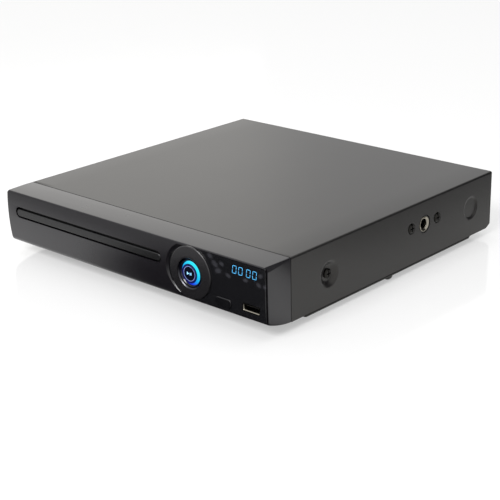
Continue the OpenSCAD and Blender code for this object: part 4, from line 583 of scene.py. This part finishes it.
# The shell is the profile carried from end to end, less its inside and all that opens or sinks into it.
# The inside leaves more wall behind the hollow
def buildFront():
    black = finishes["front_plastic"]
    f, w, c = front, window, front["crown"]
    x, inset = roundedEnd(f["halfWidth"], f["endRound"], 7)
    shell = carriedSolid("frontShell", np.append(-x[::-1], x), np.append(inset[::-1], inset),
                         lambda e: faceProfile(e, f["seamY"], f["seamChamfer"]), black)
    half = f["halfWidth"] - f["wall"]
    inner = carriedSolid("inside", [-half, half], [f["wall"]] * 2,
                         lambda e: faceProfile(e, f["seamY"] + 4), black)
    backing = circle(dial["x"] - 1, dial["z"], scoop["backing"])
    inner = combine(inner, [prism("hollowBacking", backing, c, c + scoop["backingDepth"], "y")])
    mouth = stadiumOutline(slot["x"], slot["z"], slot["w"], slot["h"])
    cuts = [inner, prism("slotCut", mouth, ahead, c + 12, "y")]
    # recess under the window
    zs = np.linspace(w["z1"] + w["fit"], w["z0"] - w["fit"], 40)
    band = np.column_stack([faceY(zs, pane) + w["t"] + w["fit"], zs])
    recess = np.concatenate([[[ahead, zs[0]]], band, [[ahead, zs[-1]]]])
    cuts.append(prism("windowCut", recess, w["x0"] - w["fit"], f["halfWidth"] + 1, "x"))
    # round pocket of the dial and the hollow beside it
    pocket = circle(dial["ringX"], dial["ringZ"], dial["ring"] + 0.15, 128)
    cuts += [prism("pocketCut", pocket, ahead, c + dial["pocket"], "y"), hollowCut(), *keyCuts(0.6, 1.9)]
    cuts.append(prism("bezelCut", circle(dial["x"], dial["z"], dial["bezel"] + 0.3, 96), c, c + 8, "y"))
    # the left end has a second, flatter facet
    cuts += [facetBlock(1), facetBlock(-1), facetBlock(-1, 2.4, 0.2, 1.1)]
    shell = combine(shell, cuts, crease=28)
    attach(shell, "case")
    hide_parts("front_panel")
    # liner of the slot, which guides the tray behind the face
    rim = 2 * slot["linerWall"]
    outside = stadiumOutline(slot["x"], slot["z"], slot["w"] + rim, slot["h"] + rim)
    y0, y1 = c + slot["linerFrom"], c + slot["linerTo"]
    rows = stacked([mouth, mouth, outside, outside], [y0, y1, y1, y0])
    liner = skinned("slotLiner", rows, black, ring=True)
    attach(liner, "case")


# The pane is a slice of its own flat form between two heights, hollow behind its thickness, with a chin
# below the dial whose upper left corner follows the hollow's circle
def buildWindow():
    f, w, c = pane, window, front["crown"]
    endX, endInset = roundedEnd(f["halfWidth"], f["endRound"], 9)
    x = np.concatenate([[w["chinX"], w["chinX"] + 0.06, w["chinX"] + 0.2], endX])
    inset = np.concatenate([[0.2, 0.06, 0], endInset])
    glass = carriedSolid("displayPane", x, inset, lambda e: faceProfile(e, f["lipY"], 0, f),
                         finishes["window_gloss"])
    slab = rectangle(ahead, c + w["depth"], 0, w["z1"])
    glass = combine(glass, [prism("paneLimit", slab, 30, 120, "x")], "INTERSECT")
    corner = prism("chinCorner", rectangle(30, w["x0"], 0, w["chinZ"] + 1), ahead, c + 8, "y")
    roundCut = prism("chinRound", circle(scoop["x"], dial["z"], scoop["r"], 160), c - 5, c + 9, "y")
    corner = combine(corner, [roundCut])
    zs = np.linspace(0, far, 120)
    behind = np.concatenate([np.column_stack([faceY(zs, f) + w["t"], zs]), [[c + 9, far], [c + 9, 0]]])
    pocket = circle(dial["ringX"], dial["ringZ"], dial["ring"] + 0.18, 128)
    cuts = [prism("behind", behind, 30, 120, "x"),
            prism("aboveChin", rectangle(30, w["x0"], w["chinZ"], far), ahead, c + 8, "y"), corner,
            prism("dialCut", pocket, ahead, c + 6, "y"), *keyCuts(0.5, 1.85),
            prism("edgeGroove", faceProfile(0.2, f["lipY"], 0, f), f["halfWidth"] - 1.0, 114, "x"),
            facetBlock(1)]
    glass = combine(glass, cuts, crease=28)
    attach(glass, "case")
    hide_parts("display_window")


buildFront()
buildWindow()
print("front shell and window made")


# All parts of the dial are turned about the y axis, from profiles of (radius, height towards the front)
def buildDial():
    d, c = dial, front["crown"]
    axis = (0, -1, 0)
    # ring: upright outside, round crest, slope that falls to the bezel
    high = d["ringHeight"]
    path = [[8, 0], [d["ring"], 0], [d["ring"], high - 0.7], [d["ring"] - 0.45, high - 0.4],
            [d["bezel"] + 0.45, high], [8, high]]
    prof = softPath(path, [0, 0.1, 0.25, 0.4, 2.0, 0], 6, True)
    floor = (d["ringX"], c + d["pocket"], d["ringZ"])
    ring = turned("dialRing", prof, floor, axis, finishes["dial_plastic"], 160)
    bore = circle(d["x"], d["z"], d["bezel"] + 0.05, 128)
    ring = combine(ring, [prism("ringBore", bore, c - 8, c + 8, "y")], crease=28)
    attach(ring, "case")
    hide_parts("dial_ring")
    # bezel: its front edge falls inwards at 45 degrees
    hole = d["play"] + 0.15
    path = [[hole, 0], [d["bezel"], 0], [d["bezel"], 5.95], [d["bezel"] - 0.2, 6.05], [8.85, 5.5],
            [hole, 4.3]]
    prof = softPath(path, [0, 0, 0.1, 0.1, 0.2, 0.15], 6, True)
    bezel = turned("dialBezel", prof, (d["x"], c + 5, d["z"]), axis, finishes["bezel_chrome"], 128)
    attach(bezel, "case")
    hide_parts("button_bezel")
    # play key: a printed disc on a narrower post, a groove round it for the lamp ring, and a rim
    back = c + d["back"]
    top = d["back"] - d["front"]                 # height of the disc above the key's back
    rim, groove = d["rim"], d["groove"]
    path = [[0, 0], [d["play"], 0], [d["play"], rim - 0.05], [d["play"] - 0.3, rim],
            [d["glowOut"] + 0.1, rim - 0.5], [d["glowOut"], rim - 0.62], [d["glowOut"], groove - 0.6],
            [3.9, groove - 0.6], [4.3, top - 0.5], [d["glowIn"], top - 0.35], [d["glowIn"], top - 0.05],
            [0, top]]
    prof = softPath(path, [0, 0, 0.05, 0.1, 0.05, 0, 0, 0, 0, 0.05, 0.12, 0], 6)
    key = turned("playCap", prof, (d["x"], back, d["z"]), axis, finishes["key_gloss"], 128, False)
    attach(key, "play_key")
    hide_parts("play_button")
    outer = d["glowOut"] - 0.04
    prof = softPath([[3.95, 0], [outer, 0], [outer, 0.5], [3.95, 0.5]], [0, 0, 0.2, 0], 8, True)
    glow = turned("lampInsert", prof, (d["x"], back - groove + 0.55, d["z"]), axis, finishes["lit_ring"], 128)
    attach(glow, "play_key")
    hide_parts("glow_ring")
    # thin printed circle and band, and the play and pause signs on the middle
    y = c + d["front"] - 0.02
    prints = []
    for name, low, high, finish in (("printedCircle", 4.3, 4.55, "circle_light"),
                                    ("printedBand", 4.55, 5.75, "navy_print")):
        path = [[low, 0], [high, 0], [high, 0.03], [low, 0.03]]
        prints.append(turned(name, path, (d["x"], y + 0.06, d["z"]), axis, finishes[finish]))
    signs = dict(playSign=[[-1.9, -0.95], [-0.3, 0], [-1.9, 0.95]],
                 pauseSignA=rectangle(0.4, 0.75, -0.8, 0.8), pauseSignB=rectangle(1.2, 1.55, -0.8, 0.8))
    for name, outline in signs.items():
        outline = np.array(outline) + [d["x"], d["z"]]
        prints.append(prism(name, outline, y, y + 0.05, "y", finishes["sign_light"]))
    for piece in prints:
        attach(piece, "play_key")


# Plate with a rounded front edge: at angle a the outline has shrunk by e (1 - cos a) and lies
# e (1 - sin a) behind the front
def roundedPlate(name, outlineAt, frontY, rearY, e, steps, finish, crease=32):
    turns = np.linspace(0, np.pi / 2, steps)
    outlines = [outlineAt(0)] + [outlineAt(e * (1 - math.cos(a))) for a in turns]
    stations = [rearY] + [frontY + e * (1 - math.sin(a)) for a in turns]
    return skinned(name, stacked(outlines, stations), finish, crease)


openKey = dict(half=9.0, outer=17.1, inner=16.05, shift=0.2, front=1.1, rear=4.8, edge=0.3)


# crescent between the hollow's edge and the ring: x = centre - sqrt(r^2 - z^2) on both of its arcs
def buildOpenKey():
    k, c = openKey, front["crown"]

    def outline(shrink):
        z = np.linspace(shrink - k["half"], k["half"] - shrink, 40)
        outer = scoop["x"] + k["shift"] - np.sqrt((k["outer"] - shrink) ** 2 - z ** 2)
        inner = dial["x"] - np.sqrt((k["inner"] + shrink) ** 2 - z[::-1] ** 2)
        return np.concatenate([np.column_stack([outer, z + dial["z"]]),
                               np.column_stack([inner, z[::-1] + dial["z"]])])

    key = roundedPlate("openKey", outline, c + k["front"], c + k["rear"], k["edge"], 5,
                       finishes["power_key_plastic"])
    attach(key, "open_key")
    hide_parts("open_key")


# power key: outlines of a soft rectangle that shrink towards a slightly crowned front
def buildPowerKey():
    p = power
    y0 = float(faceY(p["z"], pane)) - p["proud"]
    shrinks = [0, 0, 0.08, 0.24, 0.5, 1.3, 2.2]
    stations = [front["crown"] + 5.2, y0 + 0.5, y0 + 0.28, y0 + 0.1, y0 + 0.03, y0, y0]
    outlines = [softBox(p["x"], p["z"], p["w"] - 2 * s, p["h"] - 2 * s, max(1.6 - s, 0.4)) for s in shrinks]
    key = skinned("powerKey", stacked(outlines, stations), finishes["power_key_plastic"], 40)
    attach(key, "power_key")
    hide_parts("power_button")


# metal mouth of the socket: five outlines of a soft rectangle, the inner edge flared by a chamfer
def buildSocketMouth():
    u = usb
    y0 = float(faceY(u["z"], pane)) + 0.25
    sizes = [(0, 0.45), (0, 0.45), (-0.22, 0.45), (-0.62, 0.3), (-0.62, 0.3)]    # growth and corner radius
    stations = [y0 + 6, y0, y0, y0 + 0.35, y0 + 6]
    outlines = [softBox(u["x"], u["z"], u["w"] + 2 * g, u["h"] + 2 * g, r, 5) for g, r in sizes]
    mouth = skinned("socketMouth", stacked(outlines, stations), finishes["plated_steel"], 30, ring=True)
    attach(mouth, "case")


jack = dict(place=(110.45, 33.6, 28.6), bore=3.25, barrel=4.1, flange=4.95, length=10)


# Nose of the jack, turned about the x axis: a ring whose mouth is a wide bevel that leads into the bore
def buildJackNose():
    j = jack
    path = [[j["bore"], -j["length"]], [j["barrel"], -j["length"]], [j["barrel"], 0.7], [j["flange"], 0.7],
            [j["flange"], 2.0], [4.5, 2.0], [3.65, 1.2], [j["bore"], 1.1]]
    prof = softPath(path, [0, 0, 0, 0, 0.2, 0.12, 0.12, 0.1], 5, True)
    nose = turned("jackNose", prof, j["place"], (1, 0, 0), finishes["plated_steel"])
    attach(nose, "case")
    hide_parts("jack_nose_ring")


# where the figures show, their width, height and stroke, how far apart they are, the wider gap in the
# middle of the four, and how far each leans for its height
figures = dict(x=96.9, z=38.3, w=3.0, h=4.8, t=0.27, pitch=4.6, gap=1.25, lean=0.10, thick=0.03)


# four zeros: each bar is a flat six-sided strip that lies just on the pane's curved face
def buildFigures():
    g = figures
    w, h, t = g["w"], g["h"], g["t"]
    k = t / 2
    bars = []
    for sx in (-1, 1):
        for sz in (-1, 1):
            x, a, b = sx * (w - t) / 2, sz * 0.22, sz * (h - t) / 2 - sz * 0.1
            low, high = a + sz * k, b - sz * k * 0.6
            bars.append([[x, a], [x + k, low], [x + k, high], [x, b], [x - k, high], [x - k, low]])
    for sz in (-1, 1):
        z, a = sz * (h - t) / 2, (w - t) / 2 - 0.12
        bars.append([[-a, z], [-a + k, z + k], [a - k, z + k], [a, z], [a - k, z - k], [-a + k, z - k]])
    pts, faces = [], []
    for count, side in ((-1.5, -1), (-0.5, -1), (0.5, 1), (1.5, 1)):
        for bar in bars:
            q = np.array(bar) + [g["x"] + (count * g["pitch"] + side * g["gap"] / 2), g["z"]]
            q[:, 0] += g["lean"] * (q[:, 1] - g["z"])
            n = len(q)
            start = len(pts) * 2 * n
            y = faceY(q[:, 1], pane)
            pts.append(stacked([q, q], [y - g["thick"], y + g["thick"]]).reshape(-1, 3))
            faces += gridFaces(2, n, False, True, start)
            faces += [[start + i for i in range(n)], [start + n + i for i in range(n)][::-1]]
    lit = tidyNormals(makePiece("litFigures", np.concatenate(pts), faces, finishes["digit_light"]))
    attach(lit, "case")


door = dict(z=30.85, w=133.2, h=4.7, front=-117.65, depth=2.5, edge=0.5)


# the tray's door: a stadium with a rounded front edge
def buildDoor():
    d = door
    plate = roundedPlate("trayFront",
                         lambda s: stadiumOutline(slot["x"], d["z"], d["w"] - 2 * s, d["h"] - 2 * s),
                         d["front"], d["front"] + d["depth"], d["edge"], 6, finishes["door_plastic"], 40)
    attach(plate, "tray_unit")
    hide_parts("tray_door")


buildDial()
buildOpenKey()
buildPowerKey()
buildSocketMouth()
buildJackNose()
buildFigures()
buildDoor()
print("dial, keys, figures and door made")


cover = dict(half=112.5, top=44.5, skirt=5.5, front=-96.05, back=111.1, bend=1.3, sheet=0.8, edge=0.15,
             liftLength=4.6, liftHeight=8, lift=2.3)
dishes = [dict(y=-61.9, z=24.2, r=8.3, floor=4.65, depth=2.2, sides=(-1, 1)),
          dict(y=86.5, z=25.2, r=7.9, floor=6.5, depth=0.9, sides=(-1, 1)),
          dict(y=19.6, z=29.2, r=3.6, floor=3.2, depth=1.0, sides=(1,)),
          dict(y=47.6, z=29.2, r=3.6, floor=3.2, depth=1.0, sides=(1,))]


# Depth of a pressed dish at distance q from its centre: full inside the floor radius, none outside its rim,
# and between them 0.35 of a straight slope and 0.65 of a smooth step
def dishDepth(q, d):
    t = np.clip((d["r"] - q) / (d["r"] - d["floor"]), 0, 1)
    soft = t * t * (3 - 2 * t)
    return d["depth"] * (0.35 * t + 0.65 * soft)


# the cover's section as (x, z): left skirt, bend, top, bend, right skirt
def coverSection():
    c = cover
    bendX, bendZ = -c["half"] + c["bend"], c["top"] - c["bend"]
    zs = np.append(np.arange(c["skirt"], bendZ, 0.5), bendZ)
    a = np.radians(np.linspace(180, 90, 8))[1:]
    left = np.column_stack([np.full(len(zs), -c["half"]), zs])
    bend = np.column_stack([bendX + c["bend"] * np.cos(a), bendZ + c["bend"] * np.sin(a)])
    top = np.column_stack([np.linspace(bendX, -bendX, 12)[1:-1], np.full(10, c["top"])])
    return np.concatenate([left, bend, top, bend[::-1] * [-1, 1], left[::-1] * [-1, 1]])


# the cover's outer skin: its section carried along y and pressed in at the dishes, then given its thickness
def buildCover():
    c = cover
    section = coverSection()
    coarse = np.arange(c["front"], c["back"], 3.0)
    fine = [np.arange(d["y"] - d["r"] - 0.6, d["y"] + d["r"] + 0.6, 0.4) for d in dishes]
    clear = coarse[np.all([abs(coarse - d["y"]) > d["r"] + 1 for d in dishes], axis=0)]
    liftY = c["back"] - c["liftLength"]
    ends = [c["front"], c["front"] + c["edge"], c["back"], liftY]
    ys = np.unique(np.round(np.concatenate([clear, *fine, ends]), 3))
    x = np.repeat(section[None, :, 0], len(ys), 0)
    z = np.repeat(section[None, :, 1], len(ys), 0)
    y = np.repeat(ys[:, None], len(section), 1)
    # the skirt lifts near its rear corners
    lift = np.clip((ys - liftY) / c["liftLength"], 0, 1)[:, None] * c["lift"]
    z = z + lift * np.clip((c["skirt"] + c["liftHeight"] - z) / c["liftHeight"], 0, 1)
    # its front edge is rounded down a little along the top seam
    fall = np.clip(1 - (ys - c["front"]) / c["edge"], 0, 1)[:, None] * c["edge"]
    z = z - fall * (z > c["top"] - 1e-6)
    side = np.sign(x)
    wall = (abs(x) > c["half"] - 1e-6)
    for d in dishes:
        q = np.hypot(y - d["y"], z - d["z"])
        x = np.where(wall & np.isin(side, d["sides"]), x - side * dishDepth(q, d), x)
    pts = np.stack([x, y, z], -1)
    skin = tidyNormals(makePiece("coverSkin", pts, gridFaces(*pts.shape[:2]), finishes["cover_paint"], 40))
    # the open sheet must face outwards before it gets its thickness
    mesh = skin.data
    normals, centres = np.zeros((2, len(mesh.polygons) * 3))
    mesh.polygons.foreach_get("normal", normals)
    mesh.polygons.foreach_get("center", centres)
    up = centres.reshape(-1, 3)[:, 2] > (c["top"] - 0.01) * mm
    if normals.reshape(-1, 3)[up, 2].mean() < 0:
        mesh.flip_normals()
    sheet = skin.modifiers.new("sheet", "SOLIDIFY")
    sheet.thickness, sheet.offset = c["sheet"] * mm, -1
    applyModifiers(skin)
    hole = prism("jackHole", circle(jack["place"][1], jack["place"][2], 6.0, 72), 100, 120, "x")
    skin = combine(skin, [hole], crease=40)
    # lip along the top of the rear, with three screw holes
    lip = prism("rearLip", rectangle(-111.5, 111.5, 35.5, 44.1), 109.6, 110.4, "y", finishes["cover_paint"])
    for holeX in (-100.5, 0, 100.5):
        lip = combine(lip, [prism("lipHole", circle(holeX, 39, 1.7, 32), 105, 115, "y")])
    for piece in (skin, lip):
        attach(piece, "case")
    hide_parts("top_cover")


buildCover()
print("cover made")


view = dict(place=(544.10, -602.19, 298.58), yaw=-41.859, pitch=-20.358, roll=-1.035, lens=92.56,
            shiftX=-0.0228, shiftY=-0.0086)


# Camera: looks along (sin yaw cos pitch, cos yaw cos pitch, sin pitch), and its sides are rolled about that
def makeCamera():
    cam = bpy.data.objects.new("studioCamera", bpy.data.cameras.new("studioCamera"))
    bpy.context.scene.collection.objects.link(cam)
    yaw, pitch, roll = (math.radians(view[k]) for k in ("yaw", "pitch", "roll"))
    forward = np.array([math.sin(yaw) * math.cos(pitch), math.cos(yaw) * math.cos(pitch), math.sin(pitch)])
    level = np.array([math.cos(yaw), -math.sin(yaw), 0])
    above = np.cross(level, forward)
    right = level * math.cos(roll) + above * math.sin(roll)
    up = -level * math.sin(roll) + above * math.cos(roll)
    columns = np.column_stack([right, up, -forward, np.array(view["place"]) * mm])
    cam.matrix_world = mathutils.Matrix([*columns.tolist(), [0, 0, 0, 1]])
    cam.data.sensor_width = 36
    cam.data.lens = view["lens"]
    cam.data.shift_x, cam.data.shift_y = view["shiftX"], view["shiftY"]
    cam.data.clip_start, cam.data.clip_end = 0.01, 50
    cam.data.dof.use_dof = False
    bpy.context.scene.camera = cam


# in metres and watts: a broad lamp behind on the left for the sheen of the top, a bright one above the
# camera for the edges, and a soft one overhead
lamps = [dict(name="softboxRear", place=(-1.6, 0.9, 0.81), size=(1.4, 1.0), power=2.6, tone=(1, 0.97, 0.89)),
         dict(name="softboxFront", place=(0.17, -1.16, 0.99), size=(0.9, 0.45), power=17.5, tone=(1, 1, 1)),
         dict(name="softboxTop", place=(0.2, 0.2, 1.8), size=(1.2, 1.2), power=6, tone=(1, 1, 1))]
# in metres: a black card behind on the right, seen in reflections only, which paints the dark edges there as
# shade; it fades out round a point below it
card = dict(place=(0.8, 1.2, 0.8), size=(2.5, 1.7), fadeAt=(0.8, 1.2, 0.42), fadeHalves=(1.3, 1.3, 1.2))
# the floor's own light, its roughness and half size (mm), and the world's level on matt surfaces
stage = dict(floorGlow=0.42, floorLow=0.09, floorHigh=0.12, floorHalf=6000, worldMatt=0.65)
# Painted dark reflection: black painted on the floor, seen in reflections only, which darkens the face:
# patches (x, y, half length, half width, turn) before the dark half of the face, a haze further out in front,
# and a field beyond the right side
paintedDarkReflection = dict(patches=[(22, -168, 108, 78, 12), (72, -127, 76, 46, 0)], tone="#040404", haze=0.66,
              hazeY=(-160, -205), hazeEnd=(190, 230), hazeFar=(-480, -420), sideX=(112, 255), sideY=(-20, 60))


# rectangular lamp that faces the object and is itself never seen
def areaLamp(name, place, size, power, tone):
    lamp = bpy.data.lights.new(name, "AREA")
    lamp.shape, lamp.energy, lamp.color = "RECTANGLE", power, tone
    lamp.size, lamp.size_y = size
    obj = bpy.data.objects.new(name, lamp)
    bpy.context.scene.collection.objects.link(obj)
    obj.location = place
    obj.rotation_mode = "QUATERNION"
    obj.rotation_quaternion = (-mathutils.Vector(place)).to_track_quat("-Z", "Y")
    obj.visible_camera = False


# flat card that faces the object, seen in reflections only
def reflectionCard(name, place, size, finish):
    x, y = size[0] / 2, size[1] / 2
    place = mathutils.Vector(place)
    turn = (-place).to_track_quat("Z", "Y")
    pts = [list(turn @ mathutils.Vector((u, v, 0)) + place) for u, v in rectangle(-x, x, -y, y)]
    piece = makePiece(name, np.array(pts) / mm, [[0, 1, 2, 3]], finish)
    for kind in ("visible_camera", "visible_diffuse", "visible_shadow", "visible_transmission"):
        setattr(piece, kind, False)


# 1 for rays from the camera and for those that mirror or pass through something, 0 for the rest
def seenRays(tree, path):
    return chain(tree, "MAXIMUM", [(path, f"Is {kind} Ray") for kind in ("Camera", "Glossy", "Transmission")])


# Darkness of the painted dark reflection: the greatest of the soft patches and of the two fields, each field
# a product of ramps along x or y
def paintedDarkReflectionMask(tree, coords):
    v = paintedDarkReflection
    dark = [softPatch(tree, coords, (cx * mm, cy * mm, 0), (long * mm, wide * mm, 1), 0.5, 1.15,
                      (0, 0, math.radians(turn))) for cx, cy, long, wide, turn in v["patches"]]
    split = addNode(tree, "ShaderNodeSeparateXYZ", {"Vector": (coords, "Object")})
    haze = [("Y", v["hazeY"], 0.0, v["haze"], "SMOOTHSTEP"), ("X", v["hazeEnd"], 1.0, 0.0, "LINEAR"),
            ("Y", v["hazeFar"], 0.0, 1.0, "LINEAR")]
    beside = [("X", v["sideX"], 0.0, 1.0, "SMOOTHSTEP"), ("Y", v["sideY"], 0.0, 1.0, "SMOOTHSTEP")]
    for field in (haze, beside):
        ramps = [addNode(tree, "ShaderNodeMapRange", {
            "Value": (split, axis), "From Min": start * mm, "From Max": end * mm, "To Min": low,
            "To Max": high}, interpolation_type=kind) for axis, (start, end), low, high, kind in field]
        dark.append(chain(tree, "MULTIPLY", [(ramp, "Result") for ramp in ramps]))
    return chain(tree, "MAXIMUM", dark)


# satin white acrylic sheet, which gives a weak soft reflection of what stands on it, and on which the painted
# dark reflection is laid for reflected rays
def makeFloor():
    mat, tree, shader = newFinish("satinAcrylicFloor", "#f4f4f4", IOR=1.6)
    coords = addNode(tree, "ShaderNodeTexCoord")
    wearRoughness(tree, shader, coords, stage["floorLow"], stage["floorHigh"], 60)
    path = addNode(tree, "ShaderNodeLightPath")
    white = addNode(tree, "ShaderNodeEmission", {"Color": (1, 1, 1, 1), "Strength": 1.0})
    black = addNode(tree, "ShaderNodeEmission", {"Color": linear(paintedDarkReflection["tone"]), "Strength": 1.0})
    share = chain(tree, "MULTIPLY", [seenRays(tree, path), stage["floorGlow"]])
    # painted dark reflection: black mixed in where the mask lies, for reflected rays only
    mask = chain(tree, "MULTIPLY", [paintedDarkReflectionMask(tree, coords), (path, "Is Glossy Ray")])
    laid = (shader, "BSDF")
    for amount, light in ((share, white), (mask, black)):
        laid = (addNode(tree, "ShaderNodeMixShader", {0: amount, 1: laid, 2: (light, "Emission")}), "Shader")
    lead(*laid, tree.nodes["Material Output"], "Surface")
    half = stage["floorHalf"]
    corners = [[x, y, 0] for x, y in rectangle(-half, half, -half, half)]
    makePiece("floor", corners, [[0, 1, 2, 3]], mat)


# world: white to the camera and in reflections, a little less on matt surfaces
def makeWorld():
    world = bpy.data.worlds.new("whiteRoom")
    bpy.context.scene.world = world
    world.use_nodes = True
    tree = world.node_tree
    tree.nodes.clear()
    seen = seenRays(tree, addNode(tree, "ShaderNodeLightPath"))
    level = addNode(tree, "ShaderNodeMapRange", {"Value": seen, "To Min": stage["worldMatt"], "To Max": 1.0})
    back = addNode(tree, "ShaderNodeBackground", {"Color": (1, 1, 1, 1), "Strength": (level, "Result")})
    addNode(tree, "ShaderNodeOutputWorld", {"Surface": (back, "Background")})


# painted dark reflection: a black card that gives back almost no light and that only reflected rays see
def makeCard():
    mat, tree, shader = newFinish("blackVelvet", "#020202", Roughness=0.95)
    coords = addNode(tree, "ShaderNodeTexCoord")
    mottle(tree, shader, coords, "#020202", "#040404", 3)
    edge, out = softPatch(tree, coords, card["fadeAt"], card["fadeHalves"], 0.5, 0.95)
    lead(edge, out, shader, "Alpha")
    reflectionCard("velvetRight", card["place"], card["size"], mat)


makeCamera()
makeFloor()
makeWorld()
for lamp in lamps:
    areaLamp(**lamp)
makeCard()
bpy.context.scene.view_settings.view_transform = "Standard"
print("camera, floor and light made")
